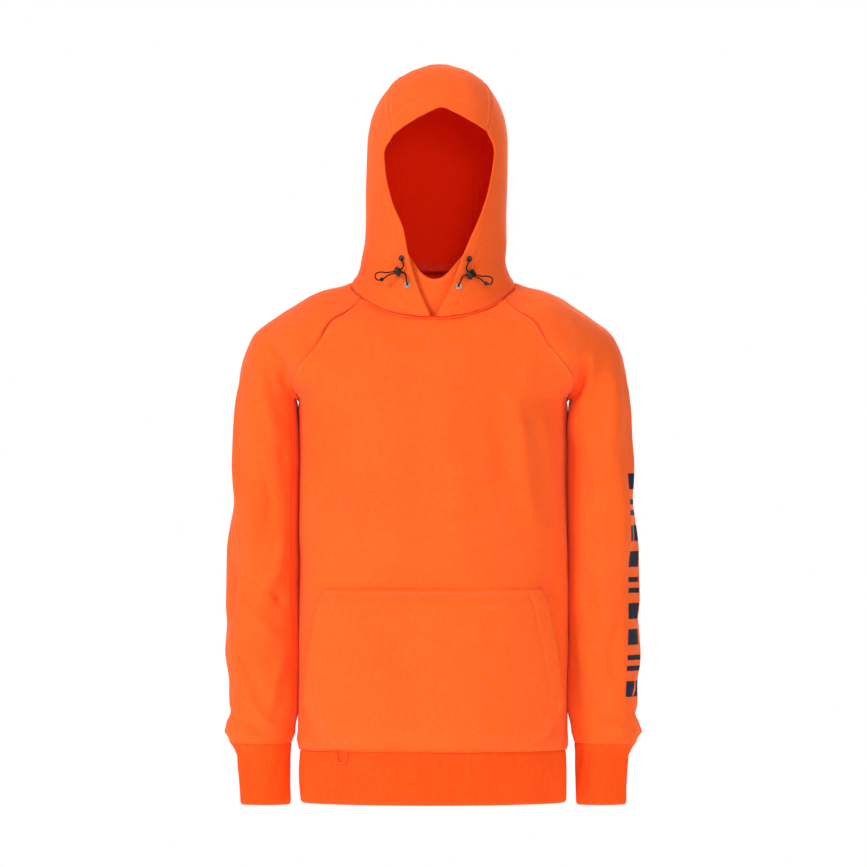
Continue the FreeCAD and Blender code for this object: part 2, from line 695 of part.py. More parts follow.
def frame_of(origin, zdir, xdir):
    """Placement whose z follows zdir and whose x lies along xdir."""
    z = V(zdir).normalize()
    x = (V(xdir) - z * V(xdir).dot(z)).normalize()
    y = z.cross(x)
    return Placement(FreeCAD.Matrix(x.x, y.x, z.x, origin.x, x.y, y.y, z.y, origin.y, x.z, y.z, z.z, origin.z, 0, 0, 0, 1))


def cyl(name, radius, height, place, z0=0.0, expr=None):
    o = doc.addObject("Part::Cylinder", name)
    o.Radius, o.Height = radius, height
    o.Placement = place.multiply(Placement(V(0, 0, z0), Rotation()))
    if expr:
        o.setExpression("Radius", expr)
    return o


SIDES = {
    "left": dict(side=1, up=(50.4, 33.0), low=(35.3, -4.8), lock=(53.0, 11.5), aim=V(-0.30, -0.94, -0.14), out=V(0.965, 0, -0.261)),
    "right": dict(side=-1, up=(-43.6, 34.0), low=(-35.5, -3.0), lock=(-49.0, 15.5), aim=V(-0.06, -1.0, 0.0), out=V(-0.972, 0, -0.237)),
}
LOCK_OFF = cell("lock_stand_off", 10.0)     # the cords' plane in the lock, in front of the hood


def rounded(points, radii):
    """Straight runs joined by tangent arcs; radii[i] is at points[i + 1]."""
    edges = []
    at = points[0]
    for i, r in enumerate(radii):
        p, q, s_ = points[i], points[i + 1], points[i + 2]
        d0, d1 = (q - p).normalize(), (s_ - q).normalize()
        turn = math.acos(max(-1.0, min(1.0, d0.dot(d1))))
        tl = r * math.tan(turn / 2)
        a, b = q - d0 * tl, q + d1 * tl
        inward = (d1 - d0).normalize()
        m = q + inward * (r / math.cos(turn / 2) - r)
        if (a - at).Length > 1e-4:
            edges.append(Part.makeLine(at, a))
        edges.append(Part.Arc(a, m, b).toShape())
        at = b
    edges.append(Part.makeLine(at, points[-1]))
    return edges


def cord(name, points, dia, tight=1.0):
    """A round cord on straight runs and tangent arcs, as wide as 0.45 of the shorter run allows."""
    radii = []
    for p, q, s_ in zip(points, points[1:], points[2:]):
        d0, d1 = (q - p), (s_ - q)
        turn = math.acos(max(-1.0, min(1.0, V(d0).normalize().dot(V(d1).normalize()))))
        radii.append(0.45 * min(d0.Length, d1.Length) / math.tan(turn / 2))
    edges = rounded(points, radii)
    spine = feature(name + "_path", Part.Wire(edges))
    length = sum(e.Length for e in edges)
    prof = doc.addObject("Part::Circle", name + "_round")
    prof.Radius = dia / 2
    prof.Placement = frame_of(points[0], points[1] - points[0], V(0.3, 0.2, 1))
    o = doc.addObject("Part::Sweep", name + "_sweep")
    o.Sections = [prof]
    o.Spine = (spine, ["Edge%d" % (i + 1) for i in range(len(edges))])
    o.Solid = True
    o.Frenet = False
    doc.recompute()
    want = math.pi * dia * dia / 4 * length
    print("%s: length %.1f mm, radii %s, turns ok, volume ratio %.4f" % (name, length, ["%.1f" % r for r in radii], o.Shape.Volume / want))
    return o, length


holes = []
locks = {}
for word, g in SIDES.items():
    eyes = {}
    for kind in ("up", "low"):
        p, n_ = hood_point(*g[kind])
        fr = frame_of(p, n_, V(0, 0, 1))
        tag = "%s_%s_eyelet" % (word, "upper" if kind == "up" else "lower")
        flange = cyl(tag + "_flange", eye_d / 2, 0.8, fr, 0.05, "dims.eyelet_flange_dia / 2")
        tube = cyl(tag + "_tube", eye_tube / 2, 4.6, fr, -4.2, "dims.eyelet_tube_dia / 2")
        back = cyl(tag + "_back", eye_d / 2 - 0.6, 0.6, fr, -4.2, "dims.eyelet_flange_dia / 2 - 0.6")
        bore = cyl(tag + "_bore", eye_bore / 2, 12, fr, -6.0, "dims.eyelet_bore / 2")
        keep(cut(tag + "_ring", fuse(tag + "_solid", [flange, tube, back]), bore), tag)
        holes.append(cyl(tag + "_hole", eye_tube / 2, 14, fr, -7.0, "dims.eyelet_tube_dia / 2"))
        eyes[kind] = (p, n_)
    p, n_ = hood_point(*g["lock"])
    aim = V(g["aim"]).normalize()
    out = (V(g["out"]) - aim * V(g["out"]).dot(aim)).normalize()
    up = aim.cross(out)
    if up.z < 0:
        up = up * -1
    L = V(g["lock"][0], p.y - LOCK_OFF, g["lock"][1])
    locks[word] = dict(L=L, aim=aim, out=out, up=up)
    w = lambda x, y, z, L=L, aim=aim, out=out, up=up: L + out * x + aim * y + up * z
    # barrel, plunger and spring, each on the lock's own axis
    fr = frame_of(L, aim, out)
    barrel = cyl(word + "_barrel_solid", lock_d / 2, lock_front - lock_back, fr, lock_back, "dims.lock_barrel_dia / 2")
    ears = []
    for k, s_ in (("top", 1), ("low", -1)):
        b = doc.addObject("Part::Box", "%s_ear_%s" % (word, k))
        b.Length, b.Width, b.Height = 3.6, 2.6, 7.0
        b.Placement = Placement(w(0, 0, 0), fr.Rotation).multiply(Placement(V(-1.8, (lock_d / 2 - 0.9) if s_ > 0 else -(lock_d / 2 - 0.9) - 2.6, -5.0), Rotation()))
        ears.append(b)
    solid = fuse(word + "_barrel_eared", [barrel] + ears)
    hollow = cyl(word + "_barrel_hollow", lock_bore / 2, 20, fr, lock_back + 0.9, "dims.lock_bore_dia / 2")
    slot = doc.addObject("Part::Box", word + "_barrel_slot")
    slot.Length, slot.Width, slot.Height = 20, 2 * slot_half, 2 * slot_wide
    slot.Placement = fr.multiply(Placement(V(-10, -slot_half, -slot_wide), Rotation()))
    slot.setExpression("Width", "2 * dims.slot_half_height")
    slot.setExpression("Height", "2 * dims.slot_half_width")
    keep(cut(word + "_barrel_slotted", cut(word + "_barrel_bored", solid, hollow), slot), word + "_lock_barrel")
    stem = cyl(word + "_plunger_stem", plunger_d / 2, 2.4 + 6.4, fr, -2.4, "dims.plunger_dia / 2")
    head = doc.addObject("Part::Sphere", word + "_plunger_head")
    head.Radius = 6.2
    head.Placement = fr.multiply(Placement(V(0, 0, 4.0), Rotation()))
    capb = cyl(word + "_plunger_cap_zone", 4.7, 6.0, fr, 7.9)
    cap = common(word + "_plunger_dome", head, capb)
    neck_c = cyl(word + "_plunger_neck", plunger_d / 2, 2.2, fr, 6.2, "dims.plunger_dia / 2")
    pl = fuse(word + "_plunger_whole", [stem, neck_c, cap])
    pslot = doc.addObject("Part::Box", word + "_plunger_slot")
    pslot.Length, pslot.Width, pslot.Height = 20, 2 * slot_half, slot_wide * 2 + press
    pslot.Placement = fr.multiply(Placement(V(-10, -slot_half, -slot_wide), Rotation()))
    pslot.setExpression("Width", "2 * dims.slot_half_height")
    pslot.setExpression("Height", "2 * dims.slot_half_width + dims.press_travel")
    keep(cut(word + "_plunger_slotted", pl, pslot), word + "_lock_plunger")
    # a pleated ring spring, turned from one zigzag profile
    zig = [(3.3, 0.0), (3.3, 0.3), (2.8, 0.7), (3.3, 1.1), (2.8, 1.5), (3.3, 1.9), (2.8, 2.3), (3.3, 2.7), (2.8, 3.1), (3.3, 3.3), (3.3, 3.55)]
    ring = [V(r, 0, z) for r, z in zig] + [V(r - 0.35, 0, z) for r, z in reversed(zig)]
    spr = Part.Face(Part.makePolygon(ring + [ring[0]])).revolve(V(0, 0, 0), V(0, 0, 1), 360)
    so = feature(word + "_spring_turned", spr)
    so.Placement = fr.multiply(Placement(V(0, 0, lock_back + 0.9 + 0.3), Rotation()))
    keep(so, word + "_lock_spring")
    # drawcord: out of the upper eyelet, through the lock, round its loop, back and into the lower eyelet
    eu, nu = eyes["up"]
    el, nl = eyes["low"]
    h_ = cord_apart
    pts = [eu - nu * 3.6, eu + nu * 4.6, w(-11.0, -0.6, h_ + 0.8), w(-6.6, 0, h_), w(15.0, 0, h_), w(22.5, 0, 5.2), w(32.0, 0, 4.6), w(32.0, 0, -5.6),
           w(20.5, 0, -5.6), w(15.0, 0, -h_), w(-6.6, 0, -h_), w(-11.0, -0.6, -h_ - 0.8), el + nl * 4.6, el - nl * 3.6]
    pts = [pts[0], pts[1], w(-11.5, -0.4, h_), w(15.0, 0, h_)] + pts[5:9] + [w(15.0, 0, -h_), w(-11.5, -0.4, -h_), pts[12], pts[13]]
    o, ln = cord(word + "_drawcord", pts, cord_d)
    keep(o, word + "_drawcord")
    locks[word]["pts"] = pts
    locks[word]["len"] = ln
    bc = w(24.2, 0, -5.6)
    # bead: a ball bored through its poles, turned as one profile about the bore
    rb_, ri = bead_d / 2, cord_d / 2 + 0.02
    zb = math.sqrt(rb_ * rb_ - ri * ri)
    edge_in = Part.makeLine(V(ri, 0, -zb), V(ri, 0, zb))
    edge_out = Part.Arc(V(ri, 0, zb), V(rb_, 0, 0), V(ri, 0, -zb)).toShape()
    ball = Part.Face(Part.Wire([edge_in, edge_out])).revolve(V(0, 0, 0), V(0, 0, 1), 360)
    bo = feature(word + "_bead_turned", ball)
    bo.Placement = frame_of(bc, out, up)
    keep(bo, word + "_cord_bead")
doc.recompute()

hole_tool = fuse("eyelet_holes", holes)
keep(cut("hood_foot_l_bored", foot_l, hole_tool), "left_hood_panel_foot")
keep(cut("hood_foot_r_bored", foot_r, hole_tool), "right_hood_panel_foot")
doc.recompute()

# --- inner collar, the neck tape behind it and the hanger loop ---------------------
NCOL = 49
ring_b, ring_t = [], []
for i in range(NCOL):
    t = -math.pi + 2 * math.pi * i / (NCOL - 1.0)
    b0 = hood_ring(t, lambda y: line(NECK_SEAM, y) + 1.0)
    cyb = lerp(HOOD, b0.z, 3)
    ring_b.append(b0 - V(b0.x - lerp(HOOD_MID, b0.z, 1), b0.y - cyb, 0).normalize() * 9.0)
    z = 50.0
    for _ in range(30):
        a, b, cy, cx = lerp(HOOD, z, 1), lerp(HOOD, z, 2), lerp(HOOD, z, 3), lerp(HOOD_MID, z, 1)
        x_, y_ = cx + (a - 9) * math.sin(t), cy - (b - 9) * math.cos(t)
        z = 0.5 * z + 0.5 * (line(COLLAR_TOP, x_) if y_ < 0 else 60.0)
    ring_t.append(V(x_, y_, z))
g = []
for j in range(7):
    f = j / 6.0
    row = []
    for p, q in zip(ring_b, ring_t):
        m = p * (1 - f) + q * f
        row.append(on_hood(m, 9.0))
    g.append(row)
keep(thick("collar_ring", pull(g, 0.4, "fl"), 2.5, V(0, 0, 10)), "inner_neck_collar")
g = []
for z in (18.0, 22.0, 26.0, 30.0):
    g.append([on_hood(V(-80 + 160 * i / 16.0, 20 + math.sqrt(110 ** 2 - (-80 + 160 * i / 16.0) ** 2), z), 12.1) for i in range(17)])
tape_g = g
keep(thick("tape_strip", g, 1.3, V(0, 0, 24)), "neck_tape")
arch_o, arch_i = Part.BSplineCurve(), Part.BSplineCurve()
tape_y = min(p.y for r in tape_g for p in r[4:13]) - 4.2
arch_o.interpolate([V(-34, tape_y, 20), V(-24, tape_y - 6, 20), V(0, tape_y - 9, 20), V(24, tape_y - 6, 20), V(34, tape_y, 20)])
arch_i.interpolate([V(-34, tape_y - 1.2, 20), V(-24, tape_y - 7.2, 20), V(0, tape_y - 10.2, 20), V(24, tape_y - 7.2, 20), V(34, tape_y - 1.2, 20)])
prof = feature("hanger_loop_profile", Part.Face(Part.Wire([arch_o.toShape(), Part.makeLine(V(34, tape_y, 20), V(34, tape_y - 1.2, 20)),
                                                           arch_i.toShape(), Part.makeLine(V(-34, tape_y - 1.2, 20), V(-34, tape_y, 20))])))
keep(extrude("hanger_loop_tape", prof, (0, 0, 1), 8), "hanger_loop")

# utility loop at the hem seam
def hem_y(x):
    return -hem_deep * math.sqrt(1 - (x / hem_wide) ** 2)


lpts = [V(-134.0, hem_y(-134.0) - 2.5, -651.5), V(-134.0, hem_y(-134.0) - 3.9, -655.5), V(-132.0, hem_y(-132.0) - 3.0, -667.5),
        V(-121.5, hem_y(-121.5) - 3.0, -667.0), V(-118.6, hem_y(-118.6) - 3.9, -655.5), V(-118.6, hem_y(-118.6) - 2.5, -651.5)]
o, loop_len = cord("utility_loop", lpts, loop_d)
keep(o, "utility_loop")
doc.recompute()

# --- checks and export ------------------------------------------------------------
bad = 0
for o in doc.Objects:
    if "Invalid" in o.State or "Error" in o.State:
        print("BAD state", o.Name, o.TypeId, o.State)
        bad += 1
for k in kept:
    s = kept[k].Shape
    if s.isNull() or not s.isValid() or len(s.Solids) != 1:
        print("BAD shape", k, "null" if s.isNull() else (s.isValid(), len(s.Solids)))
        bad += 1
        if s.isNull():
            continue
    bbx = s.BoundBox
    print("%-26s solids %d vol %.0f  x %.1f..%.1f y %.1f..%.1f z %.1f..%.1f" % (k, len(s.Solids), s.Volume, bbx.XMin, bbx.XMax, bbx.YMin, bbx.YMax, bbx.ZMin, bbx.ZMax))
for word in ("left", "right"):
    q = locks[word]
    print(word, "lock at", q["L"], "aim", q["aim"], "out", q["out"], "up", q["up"])
if bad:
    raise RuntimeError("%d objects are not sound" % bad)
for k in kept:
    kept[k].Shape.exportStep("parts/%s.step" % k)
print("exported", len(kept))
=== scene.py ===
"""Orange hooded sweatshirt with a hand warmer muff pocket: the looks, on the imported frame."""
import bpy, bmesh, math, random
import numpy as np
from mathutils import Vector, Matrix, noise


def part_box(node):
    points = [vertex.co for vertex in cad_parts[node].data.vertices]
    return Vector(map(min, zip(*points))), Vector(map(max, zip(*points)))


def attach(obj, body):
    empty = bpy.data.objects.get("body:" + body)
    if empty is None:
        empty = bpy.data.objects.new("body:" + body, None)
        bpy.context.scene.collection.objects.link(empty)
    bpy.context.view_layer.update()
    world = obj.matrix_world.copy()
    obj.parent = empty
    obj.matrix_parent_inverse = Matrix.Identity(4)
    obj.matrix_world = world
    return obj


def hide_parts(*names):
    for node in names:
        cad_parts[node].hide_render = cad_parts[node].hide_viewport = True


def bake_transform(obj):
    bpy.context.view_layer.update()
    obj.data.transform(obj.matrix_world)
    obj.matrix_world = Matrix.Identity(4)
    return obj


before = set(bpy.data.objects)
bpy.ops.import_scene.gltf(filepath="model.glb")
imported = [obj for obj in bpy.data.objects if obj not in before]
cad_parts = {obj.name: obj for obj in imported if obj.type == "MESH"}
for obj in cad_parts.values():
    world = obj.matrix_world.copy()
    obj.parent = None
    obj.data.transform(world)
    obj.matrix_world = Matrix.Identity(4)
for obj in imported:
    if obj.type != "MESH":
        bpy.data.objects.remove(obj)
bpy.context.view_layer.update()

MM = 0.001
random.seed(7)
scene = bpy.context.scene

# ---------------------------------------------------------------- tables (mm)
TRUNK = np.array([
    (-650, 187.0, 122.0, 122.0, 2.0), (-520, 187.5, 125.0, 125.0, 2.1), (-380, 186.5, 127.0, 126.0, 2.15), (-260, 186.0, 129.0, 127.0, 2.2),
    (-200, 186.5, 130.0, 127.0, 2.25), (-175, 187.6, 129.5, 127.0, 2.3), (-160, 189.5, 128.5, 127.0, 2.35), (-146, 207.0, 126.5, 126.0, 2.45),
    (-124, 236.0, 123.0, 124.0, 2.6), (-98, 254.0, 118.5, 121.0, 2.7), (-75, 254.0, 114.0, 118.0, 2.7), (-56, 238.0, 108.5, 114.0, 2.6),
    (-50, 228.5, 105.0, 112.5, 2.55), (-39, 207.0, 89.0, 109.0, 2.45), (-22, 168.5, 71.0, 103.0, 2.3), (-8, 133.5, 52.0, 97.5, 2.1),
    (4, 113.0, 40.0, 93.0, 2.0), (20, 106.0, 36.0, 90.0, 2.0)], float)
HOOD = np.array([
    (-70, 136.0, 107.0, 0.0, 2.0), (-50, 129.0, 105.0, -0.5, 2.0), (-22, 121.0, 101.0, -3.0, 2.0), (0, 113.5, 97.5, -6.0, 2.0),
    (12, 106.5, 97.0, -7.0, 2.0), (28, 101.5, 98.5, -7.5, 2.0), (62, 99.5, 104.0, -1.0, 2.0), (103, 98.5, 113.0, 7.0, 2.0),
    (150, 98.5, 119.0, 12.0, 2.05), (196, 98.0, 119.5, 13.0, 2.1), (224, 94.5, 115.0, 13.0, 2.15), (246, 87.5, 106.0, 13.0, 2.2),
    (266, 76.5, 93.0, 13.0, 2.2), (284, 61.5, 75.0, 13.0, 2.2), (298, 41.0, 51.0, 13.0, 2.1), (306, 15.0, 19.0, 13.0, 2.0)], float)
HOOD_MID = np.array([(-70, 0.0), (28, 0.0), (60, 4.0), (150, 6.0), (306, 8.5)], float)
SLEEVE = np.array([  # outer x, z, inner x, z, half depth, centre y
    (257.0, -71.0, 191.0, -160.0, 71.5, 1.0), (267, -100, 191.2, -170, 71.0, 2.0), (272, -138, 190.8, -184, 69.0, 4.0), (275, -215, 190.5, -215, 66.0, 6.0),
    (279.5, -300, 190.5, -300, 64.0, 6.0), (283.5, -400, 191.5, -400, 60.0, 5.0), (286, -520, 193.5, -520, 52.0, 3.0),
    (286, -610, 196, -610, 45.0, 1.0), (285.5, -641, 197, -641, 43.0, 0.0)], float)
NECK_SEAM = np.array([(-230, -96), (-105, -50), (-98, -46), (-83, -36), (-55, -17), (0, 2), (50, 10), (90, 15), (230, 20)], float)
RAGLAN_FRONT = np.array([(-172, 187.8), (-160, 187.0), (-148, 194), (-134, 195.5), (-119, 189), (-101, 175), (-84, 160), (-64, 149), (-53, 141), (-41, 122), (-28, 108), (-17, 100)], float)
RAGLAN_BACK = np.array([(-172, 187.8), (-160, 187.0), (-148, 195), (-125, 186), (-95, 168), (-60, 146), (-28, 120), (-8, 106), (8, 97)], float)
FACE_RIGHT = np.array([(-3, -46), (-21, -5), (-35, 42), (-41, 74), (-57, 114), (-66, 154), (-68, 182), (-55, 206)], float)
FACE_LEFT = np.array([(4, -47), (14, -28), (28, 2), (41, 36), (52, 62), (63, 87), (78, 133), (85, 184), (75, 211)], float)
FACE_TOP = np.array([(-55, 206), (-42, 216.5), (-20, 229.5), (11.8, 246), (40, 231.5), (61, 219.5), (75, 211)], float)
COLLAR_TOP = np.array([(-300, 60), (-80, 60), (-54, 54), (-35, 42), (-23, 20), (-10, 7), (6, 3), (19, 11), (40, 36), (58, 54), (80, 60), (300, 60)], float)
POCKET_EDGE = np.array([(-648.5, 150.0), (-640, 154.0), (-622, 162.5), (-606, 169.5), (-597, 173.0), (-590, 174.3), (-580, 173.2), (-560, 171.0), (-530, 167.5), (-495, 162.5), (-460, 156.5), (-440, 153.0), (-430, 151.3), (-425, 150.5)], float)
HEM = (186.0, 121.0, -725.0, -650.0)
CUFF = np.array([(-641.5, 241.2, 43.6, 42.4), (-648, 239.0, 40.0, 38.5), (-660, 236.5, 37.0, 34.5), (-690, 235.5, 35.5, 32.0), (-717, 235.0, 35.0, 31.0), (-728, 235.0, 34.6, 30.6)], float)


# ---------------------------------------------------------------- curves and surfaces
def pchip(x, y, q):
    """Smooth curve through a table, with no overshoot."""
    x, y, q = np.asarray(x, float), np.asarray(y, float), np.asarray(q, float)
    h = np.diff(x)
    d = np.diff(y) / h
    m = np.zeros(len(x))
    m[0], m[-1] = d[0], d[-1]
    a, b = d[:-1], d[1:]
    with np.errstate(divide="ignore", invalid="ignore"):
        mm = np.where(a * b > 0, 2 * a * b / (a + b), 0.0)
    m[1:-1] = mm
    i = np.clip(np.searchsorted(x, q, side="right") - 1, 0, len(x) - 2)
    t = np.clip((q - x[i]) / h[i], 0, 1)
    hh = h[i]
    return ((2 * t ** 3 - 3 * t ** 2 + 1) * y[i] + (t ** 3 - 2 * t ** 2 + t) * hh * m[i]
            + (-2 * t ** 3 + 3 * t ** 2) * y[i + 1] + (t ** 3 - t ** 2) * hh * m[i + 1])


def sm(v):
    v = np.clip(v, 0.0, 1.0)
    return v * v * (3 - 2 * v)


def tr(z, k):
    return pchip(TRUNK[:, 0], TRUNK[:, k], z)


def ho(z, k):
    return pchip(HOOD[:, 0], HOOD[:, k], z)


def hmid(z):
    return pchip(HOOD_MID[:, 0], HOOD_MID[:, 1], z)


def seam_z(y):
    return np.interp(y, NECK_SEAM[:, 0], NECK_SEAM[:, 1])


def trunk_pt(t, z, back):
    a, b, n = tr(z, 1), tr(z, 3 if back else 2), tr(z, 4)
    s, c = np.sin(t), np.cos(t)
    x = a * np.sign(s) * np.abs(s) ** (2 / n)
    y = b * np.abs(c) ** (2 / n)
    return x, (y if back else -y)


def hood_f(p):
    z = np.minimum(p[..., 2], 306.0)
    a, b, cy, n, cx = ho(z, 1), ho(z, 2), ho(z, 3), ho(z, 4), hmid(z)
    f = (np.abs(p[..., 0] - cx) / a) ** n + (np.abs(p[..., 1] - cy) / b) ** n
    return np.where(p[..., 2] > 306.5, 9.0, f)


def on_hood(p, less=0.0):
    p = np.asarray(p, float)
    z = p[..., 2]
    low = z <= 160
    c = np.stack([np.where(low, hmid(z), hmid(160.0)), np.where(low, ho(z, 3), 13.0), np.where(low, z, 160.0)], -1)
    d = p - c
    lo, hi = np.zeros(z.shape), np.full(z.shape, 6.0)
    for _ in range(36):
        m = (lo + hi) / 2
        out = hood_f(c + d * m[..., None]) > 1
        hi = np.where(out, m, hi)
        lo = np.where(out, lo, m)
    q = c + d * lo[..., None]
    v = q - c
    return q - v / np.maximum(np.linalg.norm(v, axis=-1, keepdims=True), 1e-6) * less


def hood_xz(x, z, s):
    x, z = np.asarray(x, float), np.asarray(z, float)
    a, b, cy, n, cx = ho(z, 1), ho(z, 2), ho(z, 3), ho(z, 4), hmid(z)
    q = np.maximum(1 - (np.abs(x - cx) / a) ** n, 0)
    return np.stack([x, cy + s * b * q ** (1 / n), z], -1)


def hood_ring(t, zfun):
    t = np.asarray(t, float)
    z = np.full(t.shape, 10.0)
    for _ in range(40):
        z = 0.5 * z + 0.5 * zfun(ho(z, 3) - ho(z, 2) * np.cos(t))
    p = np.stack([hmid(z) + ho(z, 1) * np.sin(t), ho(z, 3) - ho(z, 2) * np.cos(t), z], -1)
    return on_hood(p)


def resample(pts, n, dense=False):
    """Points along a polyline; dense puts extra ones close to both ends, for the seam's roll."""
    pts = np.asarray(pts, float)
    seg = np.linalg.norm(np.diff(pts, axis=0), axis=1)
    acc = np.concatenate([[0], np.cumsum(seg)])
    w = spacing(n, acc[-1]) * acc[-1] if dense else np.linspace(0, acc[-1], n)
    return np.stack([np.interp(w, acc, pts[:, k]) for k in range(3)], -1)


def spacing(n, length):
    """n values from 0 to 1 with close ones at both ends: 0, 1, 2.5, 4.5, 7 mm."""
    e = np.array([0.0, 1.0, 2.5, 4.5, 7.0]) / max(length, 30.0)
    mid = np.linspace(e[-1], 1 - e[-1], n - 8)
    return np.concatenate([e[:-1], mid, 1 - e[:-1][::-1]])


def coons(bottom, top, first, last, us, vs):
    u, v = us[None, :, None], vs[:, None, None]
    p = bottom[None] * (1 - v) + top[None] * v + first[:, None] * (1 - u) + last[:, None] * u
    return p - (bottom[0] * ((1 - u) * (1 - v)) + bottom[-1] * (u * (1 - v)) + top[0] * ((1 - u) * v) + top[-1] * (u * v))


def grid_normals(g, outward):
    du, dv = np.gradient(g, axis=1), np.gradient(g, axis=0)
    n = np.cross(du, dv)
    n /= np.maximum(np.linalg.norm(n, axis=-1, keepdims=True), 1e-9)
    j, i = g.shape[0] // 2, g.shape[1] // 2
    if np.dot(n[j, i], g[j, i] - np.asarray(outward, float)) < 0:
        n = -n
    return n


# ---------------------------------------------------------------- folds
def ridge(p, pts, width, height, plane="xz", side=None, nrm=None, taper=0.35):
    """A long soft ridge (or valley) along a polyline drawn in front view (mm)."""
    pts = np.asarray(pts, float)
    q = p[:, [0, 2]] if plane == "xz" else p[:, [1, 2]]
    seg = np.diff(pts, axis=0)
    ln = np.linalg.norm(seg, axis=1)
    acc = np.concatenate([[0], np.cumsum(ln)])
    best = np.full(len(p), 1e9)
    at = np.zeros(len(p))
    for k in range(len(seg)):
        d = q - pts[k]
        t = np.clip((d @ seg[k]) / ln[k] ** 2, 0, 1)
        dist = np.linalg.norm(d - t[:, None] * seg[k], axis=1)
        hit = dist < best
        best = np.where(hit, dist, best)
        at = np.where(hit, (acc[k] + t * ln[k]) / acc[-1], at)
    w = width * (0.75 + 0.5 * at)
    f = height * np.exp(-(best / w) ** 2) * sm(at / taper) * sm((1 - at) / taper)
    if nrm is not None:
        if side == "front":
            f = f * sm((-nrm[:, 1] - 0.02) / 0.45)
        elif side == "back":
            f = f * sm((nrm[:, 1] - 0.02) / 0.45)
    return f


def X(px):
    return (px - 433.0) * 1.4


def Z(py):
    return (284.0 - py) * 1.4


def L(*pts):
    """A polyline from the front view's drawing grid."""
    return [(X(a), Z(b)) for a, b in pts]


def side_swell(P, N):
    """The body's sides fill out against the sleeves."""
    return 1.3 * sm((np.abs(N[:, 0]) - 0.8) / 0.15) * sm((-168 - P[:, 2]) / 20.0)


BODY_FOLDS = [  # polyline, width, height
    (L((505, 375), (520, 430), (528, 500), (545, 560)), 12, 3.2), (L((490, 380), (500, 440), (508, 520)), 16, -2.2),
    (L((548, 560), (552, 620), (560, 700)), 9, -4.0), (L((562, 480), (563, 560), (566, 640), (566, 720)), 8, 2.5),
    (L((540, 400), (548, 460), (552, 520)), 11, 2.0), (L((372, 430), (362, 480), (345, 545)), 14, 2.2),
    (L((352, 420), (338, 480), (322, 540)), 13, -2.0), (L((312, 430), (308, 500), (303, 570)), 9, 2.4),
    (L((420, 400), (418, 470), (424, 560)), 22, -1.4), (L((455, 420), (462, 500), (458, 570)), 20, 1.4),
    (L((330, 720), (345, 735), (372, 742)), 7, -2.2), (L((380, 738), (430, 744), (480, 738)), 8, 1.5), (L((495, 742), (530, 735), (552, 728)), 7, -1.8),
    (L((365, 340), (400, 352), (440, 354), (480, 348)), 12, 1.6), (L((330, 360), (345, 385), (360, 420)), 14, 2.0), (L((535, 350), (525, 385), (515, 420)), 14, 1.8),
]
BACK_FOLDS = [
    ([(-120, -60), (-60, -85), (0, -92), (60, -86), (120, -62)], 16, 2.5), ([(-150, -180), (-110, -260), (-95, -380)], 18, 3.0), ([(150, -190), (115, -270), (90, -400)], 18, 3.0),
    ([(-40, -200), (-30, -340), (-45, -500)], 22, -2.2), ([(50, -220), (35, -360), (55, -520)], 22, 2.0), ([(-150, -560), (-80, -600), (0, -610), (90, -600), (150, -565)], 12, 3.0),
    ([(-140, -610), (-60, -632), (40, -634), (140, -612)], 9, -2.2),
]
SLEEVE_R_FOLDS = [  # wearer's right, on the left of the view
    (L((268, 335), (282, 365), (297, 398)), 8, -5.0), (L((256, 345), (262, 380), (272, 425), (280, 452)), 10, 4.0), (L((282, 438), (286, 462), (291, 484)), 6, -4.0),
    (L((246, 372), (252, 410), (258, 455)), 11, 3.0), (L((262, 460), (272, 500), (268, 545)), 10, -2.8), (L((243, 470), (252, 520), (248, 580)), 10, 2.6),
    (L((285, 520), (278, 570), (262, 600)), 8, 3.0), (L((270, 588), (286, 604), (300, 622)), 6, -4.2), (L((240, 600), (262, 622), (284, 640)), 8, 2.6),
    (L((236, 640), (250, 670), (262, 705)), 9, -2.4), (L((285, 640), (276, 680), (270, 722)), 8, 2.4), (L((246, 690), (262, 715), (284, 728)), 6, 2.2),
    (L((234, 712), (258, 730), (288, 734)), 5, -2.2),
]
SLEEVE_L_FOLDS = [
    (L((598, 340), (588, 375), (578, 420), (574, 452)), 10, 4.0), (L((586, 350), (580, 380), (577, 404)), 7, -4.5), (L((612, 360), (614, 410), (606, 470)), 12, 3.0),
    (L((578, 440), (586, 480), (584, 520)), 8, -3.0), (L((618, 450), (624, 520), (616, 590)), 11, 2.6), (L((600, 500), (604, 560), (596, 620)), 12, 2.6),
    (L((576, 560), (588, 590), (598, 625)), 8, -3.2), (L((574, 610), (584, 650), (592, 700)), 8, 2.4), (L((622, 600), (612, 650), (618, 700)), 9, -2.4),
    (L((580, 700), (600, 722), (628, 728)), 6, 2.4), (L((576, 724), (602, 736), (634, 732)), 5, -2.2),
]
SIDE_FOLDS = [  # drawn in (y, z) on the sleeves' outer side
    ([(-30, -110), (-10, -200), (-22, -320)], 13, 3.2), ([(25, -120), (34, -220), (20, -340)], 13, -2.8), ([(-5, -300), (12, -400), (0, -520)], 14, 2.8),
    ([(-34, -360), (-18, -440), (8, -500)], 9, -3.0), ([(40, -420), (20, -500), (-12, -560)], 10, 3.0), ([(-30, -560), (0, -600), (30, -622)], 8, -2.8), ([(-28, -600), (5, -625), (32, -632)], 6, 2.4),
]


def fold(p, n, folds, side=None, plane="xz"):
    out = np.zeros(len(p))
    for pts, w, h in folds:
        out += ridge(p, pts, w, h, plane, side, n)
    return out


def soft_noise(p, scale, amount, seed=0.0):
    out = np.empty(len(p))
    for i, q in enumerate(p):
        v = Vector((q[0] / scale + seed, q[1] / scale - seed, q[2] / (scale * 1.8)))
        out[i] = noise.noise(v) + 0.45 * noise.noise(v * 2.3)
    return out * amount


